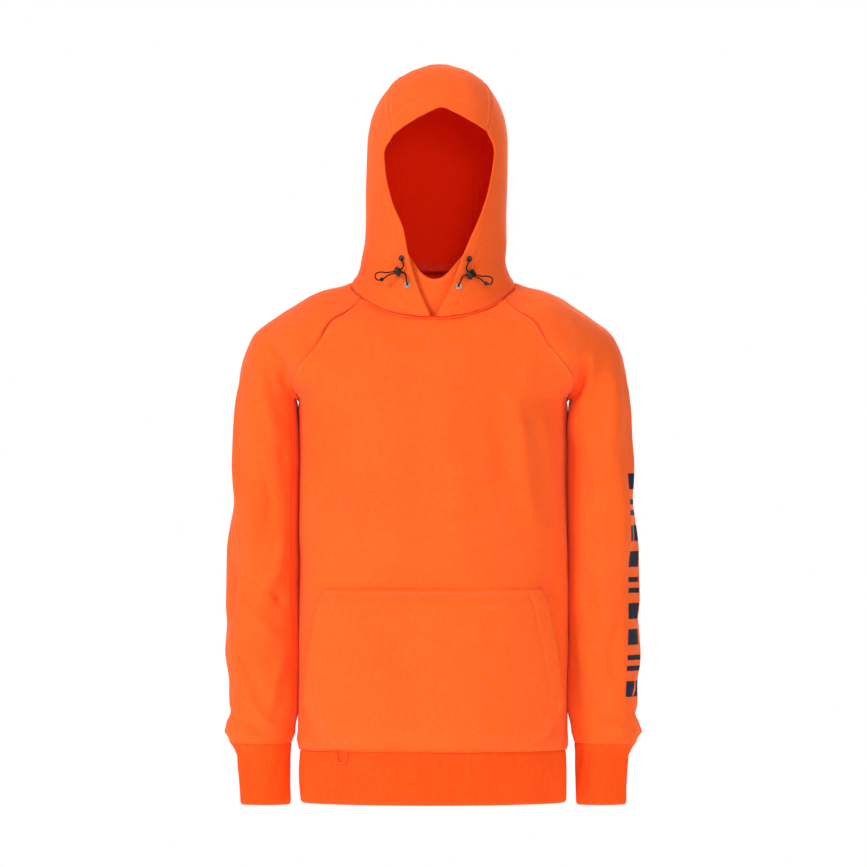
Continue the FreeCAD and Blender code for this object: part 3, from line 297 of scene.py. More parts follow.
def folded(g, outward, kind, edge_roll=0.8, roll_sides="btfl", extra=None):
    """Grid with its folds, its edges rolled in at the seams."""
    n = grid_normals(g, outward)
    P, N = g.reshape(-1, 3), n.reshape(-1, 3)
    d = np.zeros(len(P))
    if kind == "front":
        d += 2.1 * fold(P, N, BODY_FOLDS, "front") + soft_noise(P, 70, 1.8, 3.0)
    elif kind == "back":
        d += 2.0 * fold(P, N, BACK_FOLDS, "back") + soft_noise(P, 80, 1.8, 9.0)
    elif kind == "hood":
        d += soft_noise(P, 70, 1.6, 5.0)
    if extra is not None:
        d += extra(P, N)
    d = d.reshape(g.shape[:2])
    nv, nu = d.shape
    fade_u = np.ones(nu)
    fade_v = np.ones(nv)
    # distances to the edges, for the roll
    lu = np.concatenate([np.zeros((nv, 1)), np.cumsum(np.linalg.norm(np.diff(g, axis=1), axis=-1), axis=1)], 1)
    lv = np.concatenate([np.zeros((1, nu)), np.cumsum(np.linalg.norm(np.diff(g, axis=0), axis=-1), axis=0)], 0)
    dist = {"f": lu, "l": lu[:, -1:] - lu, "b": lv, "t": lv[-1:] - lv}
    for s_ in "btfl":
        d = d * sm(dist[s_] / 14.0) if s_ in roll_sides else d
    for s_ in roll_sides:
        d = d - edge_roll * np.exp(-(dist[s_] / 1.7) ** 1.5)
        d = d + 0.45 * np.exp(-((dist[s_] - 6.5) / 3.2) ** 2)
    q = g + n * d[..., None]
    unit = lambda v: v / np.maximum(np.linalg.norm(v, axis=-1, keepdims=True), 1e-9)
    tuck = 1.3
    if "f" in roll_sides:
        q[:, 0] += unit(g[:, 0] - g[:, 2]) * tuck - n[:, 0] * 0.4
    if "l" in roll_sides:
        q[:, -1] += unit(g[:, -1] - g[:, -3]) * tuck - n[:, -1] * 0.4
    if "b" in roll_sides:
        q[0] += unit(g[0] - g[2]) * tuck - n[0] * 0.4
    if "t" in roll_sides:
        q[-1] += unit(g[-1] - g[-3]) * tuck - n[-1] * 0.4
    return q, dist


# ---------------------------------------------------------------- materials
def lin(r, g, b):
    f = lambda c: c / 255 / 12.92 if c <= 10 else ((c / 255 + 0.055) / 1.055) ** 2.4
    return (f(r), f(g), f(b), 1.0)


def new_mat(name):
    m = bpy.data.materials.new(name)
    m.use_nodes = True
    nt = m.node_tree
    b = nt.nodes["Principled BSDF"]
    return m, nt, b


def coords(nt, scale=(1, 1, 1), rot=(0, 0, 0)):
    tc = nt.nodes.new("ShaderNodeTexCoord")
    mp = nt.nodes.new("ShaderNodeMapping")
    mp.inputs["Scale"].default_value = scale
    mp.inputs["Rotation"].default_value = rot
    nt.links.new(tc.outputs["Object"], mp.inputs["Vector"])
    return mp.outputs["Vector"]


def noise_tex(nt, vec, scale, detail=3.0, rough=0.6):
    n = nt.nodes.new("ShaderNodeTexNoise")
    n.inputs["Scale"].default_value = scale
    n.inputs["Detail"].default_value = detail
    n.inputs["Roughness"].default_value = rough
    nt.links.new(vec, n.inputs["Vector"])
    return n.outputs["Fac"]


def ramp(nt, fac, stops):
    r = nt.nodes.new("ShaderNodeValToRGB")
    cr = r.color_ramp
    while len(cr.elements) > 1:
        cr.elements.remove(cr.elements[-1])
    cr.elements[0].position, cr.elements[0].color = stops[0]
    for p, c in stops[1:]:
        cr.elements.new(p).color = c
    nt.links.new(fac, r.inputs["Fac"])
    return r.outputs["Color"]


def math_node(nt, op, a, b=None, val=None):
    m = nt.nodes.new("ShaderNodeMath")
    m.operation = op
    nt.links.new(a, m.inputs[0])
    if b is not None:
        nt.links.new(b, m.inputs[1])
    elif val is not None:
        m.inputs[1].default_value = val
    return m.outputs[0]


def bump(nt, height, strength, dist, after=None):
    b = nt.nodes.new("ShaderNodeBump")
    b.inputs["Strength"].default_value = strength
    b.inputs["Distance"].default_value = dist
    nt.links.new(height, b.inputs["Height"])
    if after is not None:
        nt.links.new(after, b.inputs["Normal"])
    return b.outputs["Normal"]


def fleece(name, a, b, rough=0.92, sheen=0.25, grain=1.0, tint=(1.0, 0.45, 0.25, 1)):
    """Brushed knit: two tones on slow noise, fine knit columns and fibre grain, with a soft sheen."""
    m, nt, s = new_mat(name)
    v = coords(nt)
    slow = noise_tex(nt, v, 9.0, 4.0, 0.55)
    fine = noise_tex(nt, v, 900.0, 3.0, 0.7)
    mid = noise_tex(nt, v, 160.0, 4.0, 0.65)
    mix = math_node(nt, "ADD", math_node(nt, "MULTIPLY", slow, val=0.22), math_node(nt, "ADD", math_node(nt, "MULTIPLY", mid, val=0.42), math_node(nt, "MULTIPLY", fine, val=0.36)))
    nt.links.new(ramp(nt, mix, [(0.32, a), (0.68, b)]), s.inputs["Base Color"])
    w = nt.nodes.new("ShaderNodeTexWave")
    w.wave_type, w.bands_direction = "BANDS", "X"
    w.inputs["Scale"].default_value = 210.0
    w.inputs["Distortion"].default_value = 2.2
    w.inputs["Detail"].default_value = 2.0
    w.inputs["Detail Scale"].default_value = 2.5
    nt.links.new(v, w.inputs["Vector"])
    h = math_node(nt, "ADD", math_node(nt, "MULTIPLY", w.outputs["Fac"], val=0.5), math_node(nt, "MULTIPLY", fine, val=0.8))
    n1 = bump(nt, mid, 0.35 * grain, 0.0012)
    n2 = bump(nt, h, 0.4 * grain, 0.0004, n1)
    nt.links.new(n2, s.inputs["Normal"])
    s.inputs["Roughness"].default_value = rough
    s.inputs["Sheen Weight"].default_value = sheen
    s.inputs["Sheen Roughness"].default_value = 0.55
    s.inputs["Sheen Tint"].default_value = tint
    s.inputs["Specular IOR Level"].default_value = 0.12
    return m


def plain(name, rgb, rough, metallic=0.0, grain=600.0, amount=0.12, spec=0.5, coat=0.0):
    m, nt, s = new_mat(name)
    v = coords(nt)
    f = noise_tex(nt, v, grain, 3.0, 0.6)
    g = noise_tex(nt, v, grain * 0.08, 2.0, 0.5)
    c2 = tuple(min(1.0, c * 1.35 + 0.004) for c in rgb[:3]) + (1.0,)
    nt.links.new(ramp(nt, g, [(0.35, rgb), (0.7, c2)]), s.inputs["Base Color"])
    r = nt.nodes.new("ShaderNodeMapRange")
    r.inputs["To Min"].default_value = max(rough - 0.08, 0.02)
    r.inputs["To Max"].default_value = min(rough + 0.1, 1.0)
    nt.links.new(g, r.inputs["Value"])
    nt.links.new(r.outputs["Result"], s.inputs["Roughness"])
    s.inputs["Metallic"].default_value = metallic
    s.inputs["Specular IOR Level"].default_value = spec
    s.inputs["Coat Weight"].default_value = coat
    nt.links.new(bump(nt, f, amount, 0.0001), s.inputs["Normal"])
    return m


M_FLEECE = fleece("orange_fleece", lin(252, 86, 22), lin(255, 106, 40))
# Inner skin: the brushed reverse side of the fleece, rougher and with less sheen. Its deeper red than the outside is
# painted bounce light, standing in for the light reflected back and forth inside the hood and the other hollows.
M_INSIDE_PAINTED_BOUNCE = fleece("brushed_inside", lin(253, 46, 4), lin(255, 60, 9), rough=1.0, sheen=0.06, grain=1.6, tint=(1.0, 0.3, 0.12, 1))
M_RIB = fleece("rib_knit", lin(246, 74, 10), lin(252, 92, 24), sheen=0.2, grain=0.8)
M_THREAD = plain("sewing_thread", lin(255, 122, 66), 0.6, grain=2500.0, amount=0.3)
M_TAPE = plain("woven_tape", lin(236, 48, 8), 0.85, grain=1500.0, amount=0.5)
M_CORD_O = plain("orange_braid", lin(232, 74, 14), 0.75, grain=1800.0, amount=0.6)
M_CORD_B = plain("black_shock_cord", (0.004, 0.004, 0.0045, 1), 0.7, grain=1800.0, amount=0.6, spec=0.2)
M_PLASTIC = plain("black_plastic", (0.005, 0.005, 0.0055, 1), 0.34, grain=900.0, amount=0.05, spec=0.35)
M_BLACK_METAL = plain("black_metal", (0.008, 0.008, 0.009, 1), 0.35, metallic=0.3, grain=900.0, amount=0.05)
M_SILVER = plain("silver_metal", (0.68, 0.69, 0.70, 1), 0.26, metallic=1.0, grain=900.0, amount=0.05)
M_DARK_PRINT = plain("dark_print", (0.014, 0.018, 0.032, 1), 0.7, grain=700.0, amount=0.2, spec=0.15)


# ---------------------------------------------------------------- mesh making
def obj_from(name, verts, faces, mats, smooth=True, face_mats=None):
    me = bpy.data.meshes.new(name)
    me.from_pydata([tuple(v) for v in np.asarray(verts) * MM], [], faces)
    for m in mats:
        me.materials.append(m)
    if face_mats is not None:
        me.polygons.foreach_set("material_index", face_mats)
    if smooth:
        me.polygons.foreach_set("use_smooth", [True] * len(me.polygons))
    o = bpy.data.objects.new(name, me)
    scene.collection.objects.link(o)
    me.update()
    return o


def grid_faces(nv, nu, off=0, wrap=False):
    out = []
    for j in range(nv - 1):
        for i in range(nu if wrap else nu - 1):
            i2 = (i + 1) % nu
            out.append((off + j * nu + i, off + j * nu + i2, off + (j + 1) * nu + i2, off + (j + 1) * nu + i))
    return out


def solidify(o, thickness, inner_slot=True, offset=-1.0):
    """Thickness inward, applied. The inner skin takes the second material."""
    me = o.data
    bm = bmesh.new()
    bm.from_mesh(me)
    bmesh.ops.recalc_face_normals(bm, faces=bm.faces)
    bm.to_mesh(me)
    bm.free()
    md = o.modifiers.new("wall", "SOLIDIFY")
    md.thickness = thickness * MM
    md.offset = offset
    md.use_rim = True
    md.material_offset = 1 if inner_slot else 0
    md.use_even_offset = False
    dg = bpy.context.evaluated_depsgraph_get()
    new = bpy.data.meshes.new_from_object(o.evaluated_get(dg))
    o.modifiers.clear()
    old = o.data
    o.data = new
    bpy.data.meshes.remove(old)
    new.polygons.foreach_set("use_smooth", [True] * len(new.polygons))
    return o


def face_out(o, point):
    """Turns the faces so that they point away from a point (mm)."""
    me = o.data
    c = np.array(point) * MM
    tot = 0.0
    for p in me.polygons:
        tot += p.area * float(np.dot(np.array(p.normal), np.array(p.center) - c))
    if tot < 0:
        me.flip_normals()
    return o


def shell(name, g, thickness, mats, centre, wrap=False, holes=()):
    nv, nu = g.shape[:2]
    faces = grid_faces(nv, nu, 0, wrap)
    if len(holes):
        P_ = g.reshape(-1, 3)
        faces = [f for f in faces if min(np.linalg.norm(P_[list(f)].mean(0) - h) for h in holes) > 1.9]
    o = obj_from(name, g.reshape(-1, 3), faces, mats)
    face_out(o, centre)
    md = o.modifiers.new("wall", "SOLIDIFY")
    md.thickness = thickness * MM
    md.offset = -1.0
    md.use_rim = True
    md.material_offset = 1 if len(mats) > 1 else 0
    dg = bpy.context.evaluated_depsgraph_get()
    new = bpy.data.meshes.new_from_object(o.evaluated_get(dg))
    o.modifiers.clear()
    o.data = new
    new.polygons.foreach_set("use_smooth", [True] * len(new.polygons))
    return o


class Stitches:
    """Short thread dashes laid along lines on a surface."""
    def __init__(self):
        self.v, self.f = [], []

    def run(self, pts, nrm, length=2.9, gap=1.3, r=0.42, lift=0.12):
        pts, nrm = np.asarray(pts, float), np.asarray(nrm, float)
        seg = np.linalg.norm(np.diff(pts, axis=0), axis=1)
        acc = np.concatenate([[0], np.cumsum(seg)])
        at = gap
        at_p = lambda s: np.array([np.interp(s, acc, pts[:, k]) for k in range(3)])
        at_n = lambda s: np.array([np.interp(s, acc, nrm[:, k]) for k in range(3)])
        while at + length < acc[-1]:
            a, b, m = at_p(at), at_p(at + length), at_p(at + length / 2)
            n = at_n(at + length / 2)
            n /= max(np.linalg.norm(n), 1e-9)
            d = b - a
            ln = np.linalg.norm(d)
            if ln > 0.4 * length:
                d /= ln
                s = np.cross(n, d)
                s /= max(np.linalg.norm(s), 1e-9)
                rings = [(a - n * 0.25, 0.35), (a + d * 0.5 + n * lift, 0.9), (m + n * (lift + 0.12), 1.0), (b - d * 0.5 + n * lift, 0.9), (b - n * 0.25, 0.35)]
                base = len(self.v)
                for c, k in rings:
                    for q in range(5):
                        t = 2 * math.pi * q / 5
                        self.v.append(c + (s * math.cos(t) + n * math.sin(t)) * (r * k))
                for j in range(4):
                    for q in range(5):
                        q2 = (q + 1) % 5
                        self.f.append((base + j * 5 + q, base + j * 5 + q2, base + (j + 1) * 5 + q2, base + (j + 1) * 5 + q))
                self.f.append(tuple(base + q for q in range(5))[::-1])
                self.f.append(tuple(base + 20 + q for q in range(5)))
            at += length + gap


def joined(name, o, st):
    """The stitches become part of the panel they are sewn in."""
    if not st.v:
        return o
    s = obj_from(name + "_thread", st.v, st.f, [M_THREAD])
    idx = len(o.data.materials)
    bm = bmesh.new()
    bm.from_mesh(o.data)
    n0 = len(bm.faces)
    bm.from_mesh(s.data)
    bm.faces.ensure_lookup_table()
    for f in bm.faces[n0:]:
        f.material_index = idx
        f.smooth = True
    o.data.materials.append(M_THREAD)
    bm.to_mesh(o.data)
    bm.free()
    bpy.data.objects.remove(s)
    return o


def edge_lines(g, n, dist, side, d):
    """The line on a grid at distance d from one of its edges: points and normals."""
    if side in "fl":
        D = dist[side]
        pts, nn = [], []
        for j in range(g.shape[0]):
            order = np.argsort(D[j])
            pts.append([np.interp(d, D[j][order], g[j][order, k]) for k in range(3)])
            nn.append([np.interp(d, D[j][order], n[j][order, k]) for k in range(3)])
    else:
        D = dist[side]
        pts, nn = [], []
        for i in range(g.shape[1]):
            order = np.argsort(D[:, i])
            pts.append([np.interp(d, D[order, i], g[order, i, k]) for k in range(3)])
            nn.append([np.interp(d, D[order, i], n[order, i, k]) for k in range(3)])
    return np.array(pts), np.array(nn)


def seam_stitch(st, g, outward, dist, sides, offs=(4.2,), trim=3):
    n = grid_normals(g, outward)
    for s_ in sides:
        for d in offs:
            p, q = edge_lines(g, n, dist, s_, d)
            st.run(p[trim:len(p) - trim], q[trim:len(q) - trim])


AREA = {}


def area_of(g):
    a = g[1:, 1:] - g[:-1, :-1]
    b = g[1:, :-1] - g[:-1, 1:]
    return float(np.linalg.norm(np.cross(a, b), axis=-1).sum() / 2) * 1e-6


def flat_size(g):
    """Width and length of a panel's cut, from its grid, in metres."""
    w = max(np.linalg.norm(np.diff(g, axis=1), axis=-1).sum(1)) * MM
    h = max(np.linalg.norm(np.diff(g, axis=0), axis=-1).sum(0)) * MM
    return w, h


def declare(o, g):
    w, h = flat_size(g)
    a = area_of(g)


# ---------------------------------------------------------------- neck ring: every panel at the neck ends on it
RT = np.linspace(-math.pi, math.pi, 2881)
RING = hood_ring(RT, lambda y: seam_z(y))
_f = np.abs(RT) < math.pi / 2
T_FRONT = float(RT[_f & (RT > 0)][np.argmin(np.abs(RING[_f & (RT > 0)][:, 0] - 100.0))])
_b = RT > math.pi / 2
T_BACK = float(RT[_b][np.argmin(np.abs(RING[_b][:, 0] - 97.0))])


def ring_at(t):
    return hood_ring(np.asarray(t, float), lambda y: seam_z(y))


def to_ring(g, t0, t1, reach=62.0):
    """The panel's top row lands on the neck ring, and the rows under it follow."""
    top = g[-1]
    f = np.concatenate([[0], np.cumsum(np.linalg.norm(np.diff(top, axis=0), axis=1))])
    f /= f[-1]
    arc = ring_at(np.linspace(t0, t1, 500))
    a = np.concatenate([[0], np.cumsum(np.linalg.norm(np.diff(arc, axis=0), axis=1))])
    a /= a[-1]
    q = np.stack([np.interp(f, a, arc[:, k]) for k in range(3)], -1)
    d = np.concatenate([np.cumsum(np.linalg.norm(np.diff(g, axis=0), axis=-1)[::-1], axis=0)[::-1], np.zeros((1, g.shape[1]))], 0)
    return g + (q - top)[None] * sm(1 - d / reach)[..., None]


# ---------------------------------------------------------------- body panels
def body_grid(back):
    tab = RAGLAN_BACK if back else RAGLAN_FRONT
    nk = len(tab) - 1
    rows = []
    zs = np.concatenate([[-650, -649, -647.5, -645.5, -643], np.arange(-638, -176, 5.0)])
    for z in zs:
        rows.append((z, None, 0.0))
    K = 52
    kk = np.linspace(0, nk, K)
    zz = pchip(np.arange(nk + 1), tab[:, 0], kk)
    xx = pchip(np.arange(nk + 1), tab[:, 1], kk)
    mtop = 0.14 if back else 0.667
    for k, z, x in zip(kk, zz, xx):
        rows.append((z, x, mtop * (k / nk) ** 1.3))
    # close rows at the neck edge
    k0 = rows[-2]
    k1 = rows[-1]
    for f in (0.35, 0.65, 0.85):
        rows.insert(-1, tuple(k0[i] + (k1[i] - k0[i]) * f for i in range(3)))
    ns = 150
    s = spacing(ns, 400.0) * 2 - 1
    g = []
    for z, x, m in rows:
        if x is None:
            te = math.pi / 2
        else:
            te = math.asin(min(1.0, float((abs(x) / tr(z, 1)) ** (tr(z, 4) / 2))))
        t = te * s
        ye = float(trunk_pt(np.array([te]), np.array([z]), back)[1][0])
        zc = np.full(ns, float(z))
        for _ in range(40):
            zc = 0.5 * zc + 0.5 * (z + m * (trunk_pt(t, zc, back)[1] - ye))
        px, py = trunk_pt(t, zc, back)
        g.append(np.stack([px, py, zc], -1))
    return np.array(g), len(zs)


def blouse(P, N):
    """The cloth swells a little where it is gathered into the hem band."""
    h = P[:, 2] + 650
    return 3.2 * np.exp(-((h - 13) / 11.0) ** 2) * (0.75 + 0.35 * np.sin(P[:, 0] / 17.0 + 0.8 * np.sin(P[:, 0] / 41.0))) * np.exp(-(np.maximum(h - 60, 0) / 20))


FRONT, n_straight = body_grid(False)
BACK, _ = body_grid(True)
for _g in (FRONT, BACK):
    _w = sm((np.abs(_g[..., 0]) - 182.0) / 4.5) * sm((-160 - _g[..., 2]) / 20.0)
    _g[..., 0] += np.sign(_g[..., 0]) * 1.1 * _w
FRONT = to_ring(FRONT, -T_FRONT, T_FRONT)
_tb = BACK[-1]
BACK = to_ring(BACK, -T_BACK, T_BACK - 2 * math.pi) if False else to_ring(BACK, -T_BACK + 2 * math.pi, T_BACK)
front_g, fd = folded(FRONT, (0, 0, -300), "front", extra=blouse)
back_g, bd = folded(BACK, (0, 0, -300), "back", extra=blouse)
st = Stitches()
seam_stitch(st, front_g[n_straight:], (0, 0, -300), {k: v[n_straight:] for k, v in fd.items()}, "fl", (3.6, 6.0))
seam_stitch(st, front_g, (0, 0, -300), fd, "t", (4.0, 6.4))
seam_stitch(st, front_g, (0, 0, -300), fd, "b", (4.0,), 6)
front = shell("front_body", front_g, 2.4, [M_FLEECE, M_INSIDE_PAINTED_BOUNCE], (0, 0, -300))
joined("front_body", front, st)
st = Stitches()
seam_stitch(st, back_g[n_straight:], (0, 0, -300), {k: v[n_straight:] for k, v in bd.items()}, "fl", (3.6, 6.0))
seam_stitch(st, back_g, (0, 0, -300), bd, "t", (4.0, 6.4))
seam_stitch(st, back_g, (0, 0, -300), bd, "b", (4.0,), 6)
back = shell("back_body", back_g, 2.4, [M_FLEECE, M_INSIDE_PAINTED_BOUNCE], (0, 0, -300))
joined("back_body", back, st)
for o, g, node in ((front, front_g, "front_body_panel"), (back, back_g, "back_body_panel")):
    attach(o, "garment")
    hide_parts(node)
    declare(o, g)

# ---------------------------------------------------------------- raglan sleeves
ARM_IN, ARM_OUT = np.array([191.0, 0, -160.0]), np.array([257.0, 0, -71.0])
NT = 121


def sleeve_rows(n):
    """Tube rows from the shoulder joint to the cuff, with ring angle 0 on the outside and 180 under the arm."""
    c = (SLEEVE[:, :2] + SLEEVE[:, 2:4]) / 2
    acc = np.concatenate([[0], np.cumsum(np.linalg.norm(np.diff(c, axis=0), axis=1))])
    q = np.linspace(0, acc[-1], n)
    q = np.concatenate([q[:-1], acc[-1] - np.array([4.5, 2.5, 1.0, 0.0])])
    q = np.sort(q)
    vals = [pchip(acc, SLEEVE[:, k], q) for k in range(6)]
    ang = np.radians(np.linspace(-180, 180, NT))
    ct, s_ = np.cos(ang), np.sin(ang)
    rows = []
    for ox, oz, ix, iz, dep, cy in zip(*vals):
        o_, i_ = np.array([ox, 0, oz]), np.array([ix, 0, iz])
        w = (o_ - i_)
        half = np.linalg.norm(w) / 2
        w = w / (2 * half)
        ctr = (o_ + i_) / 2 + np.array([0, cy, 0])
        rows.append(ctr + np.outer(half * np.sign(ct) * np.abs(ct) ** 0.92, w) + np.outer(dep * np.sign(s_) * np.abs(s_) ** 0.92, [0, 1, 0]))
    return np.array(rows)


TUBE = sleeve_rows(118)
f_edge = FRONT[n_straight:, -1][::-1]
b_edge = BACK[n_straight:, -1][::-1]
NY = 40
vs = spacing(NY, 190.0)
fe, be = resample(f_edge[:-2], NY, True), resample(b_edge[:-2], NY, True)
NECK_SIDE = np.array([(107.5, -41, -12), (112.5, -25, -6.5), (114.8, -8, -0.8), (114.4, 8, 3.2), (111, 22, 5.6), (105, 34, 7.2)], float)
NU = 101
neck = resample(ring_at(np.linspace(T_FRONT, T_BACK, 300)), NU)
neck[0], neck[-1] = fe[0], be[0]
loop = TUBE[0][10:111].copy()
loop[0], loop[-1] = loop[0] * 0.4 + fe[-1] * 0.6, loop[-1] * 0.4 + be[-1] * 0.6
TUBE[0][10], TUBE[0][110] = loop[0], loop[-1]
fe[-1], be[-1] = loop[0], loop[-1]
us = np.linspace(0, 1, NU)
# the loop's own spacing carries over to the rows above it
YOKE = coons(neck, loop, fe, be, us, vs)
bul = np.sin(math.pi * vs)[:, None] * np.sin(math.pi * us)[None, :]
YOKE = YOKE + bul[..., None] * np.array([1.2, 0, 4.9])


def sleeve_mesh(word, side):
    nt_rows = len(TUBE)
    tube = TUBE[:, :NT - 1].reshape(-1, 3)
    yoke = YOKE[:-1].reshape(-1, 3)
    verts = np.vstack([tube, yoke]) * np.array([side, 1, 1])
    faces = grid_faces(nt_rows, NT - 1, 0, True)
    off = len(tube)
    for j in range(NY - 1):
        for i in range(NU - 1):
            a, b = off + j * NU + i, off + j * NU + i + 1
            if j < NY - 2:
                c, d = off + (j + 1) * NU + i + 1, off + (j + 1) * NU + i
            else:
                c, d = 10 + i + 1, 10 + i
            faces.append((a, b, c, d))
    o = obj_from(word + "_raglan_sleeve", verts, faces, [M_FLEECE, M_INSIDE_PAINTED_BOUNCE])
    me = o.data
    bm = bmesh.new()
    bm.from_mesh(me)
    bmesh.ops.recalc_face_normals(bm, faces=bm.faces)
    bm.verts.ensure_lookup_table()
    # ease the shape across the shoulder
    cen, uu = (ARM_IN + ARM_OUT) / 2, (ARM_OUT - ARM_IN) / np.linalg.norm(ARM_OUT - ARM_IN)
    nn = np.array([uu[2], 0, -uu[0]])
    band = []
    for v in bm.verts:
        p = np.array(v.co) / MM * np.array([side, 1, 1])
        k = abs(float(np.dot(p - cen, nn)))
        if not v.is_boundary and k < 84:
            band.append((v, 1 - k / 84.0))
    for it in range(90):
        sel = [v for v, w in band if w > (it / 90.0) * 0.92]
        bmesh.ops.smooth_vert(bm, verts=sel, factor=0.5, use_axis_x=True, use_axis_y=True, use_axis_z=True)
    bm.normal_update()
    P = np.array([v.co for v in bm.verts]) / MM
    N = np.array([v.normal for v in bm.verts])
    c0 = np.array([side * 235, 0, -380])
    if float(np.mean(np.einsum("ij,ij->i", N, P - np.where(np.abs(P) > 1e9, 0, np.stack([np.full(len(P), side * 235.0), P[:, 1] * 0, P[:, 2]], -1))))) < 0:
        bmesh.ops.reverse_faces(bm, faces=bm.faces)
        bm.normal_update()
        N = np.array([v.normal for v in bm.verts])
    front_set = SLEEVE_L_FOLDS if side > 0 else SLEEVE_R_FOLDS
    d = 2.0 * fold(P, N, front_set, "front")
    out_w = sm((N[:, 0] * side - 0.2) / 0.5)
    d += 1.8 * fold(P, N, SIDE_FOLDS, None, "yz") * out_w
    mir = [([(-a, b) for a, b in pts], w, h) for pts, w, h in front_set]
    d += fold(P * np.array([-1, 1, 1]), N, mir, "back") * 1.5
    d += soft_noise(P, 48, 2.2, 11.0 if side > 0 else 17.0)
    # gathered a little at the cuff
    h = P[:, 2] + 641
    ang = np.arctan2(P[:, 1], (P[:, 0] - side * 241) * side)
    d += 2.4 * np.exp(-((h - 12) / 10.0) ** 2) * (0.7 + 0.4 * np.sin(ang * 9 + 1.5 * np.sin(ang * 2)))
    # rolled edges: distance from the open boundary
    bnd = np.array([v.co for v in bm.verts if v.is_boundary]) / MM
    from mathutils import kdtree
    kd = kdtree.KDTree(len(bnd))
    for i, q in enumerate(bnd):
        kd.insert(Vector(q), i)
    kd.balance()
    e = np.array([kd.find(Vector(q))[2] for q in P])
    d = d * sm(e / 14.0)
    flat_in = sm((-N[:, 0] * side - 0.45) / 0.4) * sm((-170 - P[:, 2]) / 25.0)
    d = np.where(d < 0, d * (1 - flat_in), d)
    d = d - 0.8 * np.exp(-(e / 1.7) ** 1.5) + 0.45 * np.exp(-((e - 6.5) / 3.2) ** 2)
    # the sleeve stays clear of the body's side
    Q = P + N * d[:, None]
    lowp = (P[:, 2] < -175) & (np.abs(P[:, 0]) < 215)
    zb = np.arange(-640.0, -158.0, 12.0)
    mb = np.array([np.min(np.abs(Q[(np.abs(P[:, 2] - z_) < 9) & (P[:, 2] < -150), 0])) for z_ in zb])
    mb = np.convolve(np.pad(mb, 2, mode="edge"), np.ones(5) / 5, "valid")
    fill = (np.interp(P[:, 2], zb, mb) - 186.3) * sm((222 - np.abs(P[:, 0])) / 26.0) * sm((-158 - P[:, 2]) / 14.0) * sm((P[:, 2] + 640) / 55.0)
    Q[:, 0] -= side * fill
    Q[:, 0] = np.where(lowp, side * np.maximum(np.abs(Q[:, 0]) - 0.0 * sm((-175 - P[:, 2]) / 30.0) * sm((P[:, 2] + 640) / 40.0), 186.2), Q[:, 0])
    for v in bm.verts:
        if v.is_boundary:
            ins = [e_.other_vert(v).index for e_ in v.link_edges if not e_.other_vert(v).is_boundary]
            if ins:
                dr = P[v.index] - P[ins].mean(0)
                dr /= max(np.linalg.norm(dr), 1e-9)
                Q[v.index] += dr * 1.3 - N[v.index] * 0.4
    for v, q in zip(bm.verts, Q):
        v.co = Vector(q * MM)
    bm.to_mesh(me)
    bm.free()
    area = sum(p.area for p in me.polygons)
    md = o.modifiers.new("wall", "SOLIDIFY")
    md.thickness = 2.4 * MM
    md.offset = -1.0
    md.material_offset = 1
    dg = bpy.context.evaluated_depsgraph_get()
    new = bpy.data.meshes.new_from_object(o.evaluated_get(dg))
    o.modifiers.clear()
    o.data = new
    new.polygons.foreach_set("use_smooth", [True] * len(new.polygons))
    return o, area, Q, e


for side, word in ((1, "left"), (-1, "right")):
    o, area, Q, e = sleeve_mesh(word, side)
    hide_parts(word + "_sleeve_shoulder", word + "_sleeve")
    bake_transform(o)
    min(area, 0.399)

# a plain column of dark blocks printed down the outer side of the left sleeve
from mathutils.bvhtree import BVHTree
sl = bpy.data.objects["left_raglan_sleeve"]
bvh = BVHTree.FromPolygons([v.co[:] for v in sl.data.vertices], [p_.vertices[:] for p_ in sl.data.polygons])
pv, pf = [], []


def printed(y0, y1, z0, z1):
    ny, nz = max(int((y1 - y0) / 2.5), 3), max(int((z1 - z0) / 2.5), 3)
    lo_v, hi_v = [], []
    for zq in np.linspace(z0, z1, nz):
        for yq in np.linspace(y0, y1, ny):
            hit, nrm, _, _ = bvh.ray_cast(Vector((0.36, yq * MM, zq * MM)), Vector((-1, 0, 0)))
            h_, n_ = np.array(hit) / MM, np.array(nrm)
            lo_v.append(h_ - n_ * 0.25)
            hi_v.append(h_ + n_ * 0.3)
    base = len(pv)
    k_ = ny * nz
    pv.extend(hi_v)
    pv.extend(lo_v)
    for j in range(nz - 1):
        for i in range(ny - 1):
            a_ = base + j * ny + i
            pf.append((a_, a_ + 1, a_ + ny + 1, a_ + ny))
            pf.append((a_ + k_ + ny, a_ + k_ + ny + 1, a_ + k_ + 1, a_ + k_))
    rim = [j for j in range(ny)] + [ny - 1 + j * ny for j in range(1, nz)] + [(nz - 1) * ny + i for i in range(ny - 2, -1, -1)] + [j * ny for j in range(nz - 2, 0, -1)]
    for a_, b_ in zip(rim, rim[1:] + rim[:1]):
        pf.append((base + b_, base + a_, base + k_ + a_, base + k_ + b_))


for i, zc_ in enumerate(np.linspace(-276, -566, 9)):
    y0, y1 = -36.0, 2.0
    if i % 3 == 0:
        printed(y0, y1, zc_ - 11, zc_ + 11)
    elif i % 3 == 1:
        printed(y0, y1, zc_ - 11, zc_ - 4)
        printed(y0, y1, zc_ + 4, zc_ + 11)
    else:
        printed(y0, (y0 + y1) / 2 - 3, zc_ - 11, zc_ + 11)
        printed((y0 + y1) / 2 + 3, y1, zc_ - 11, zc_ + 11)
blocks = obj_from("sleeve_print_blocks", pv, pf, [M_DARK_PRINT], smooth=False)
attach(blocks, "left_arm")

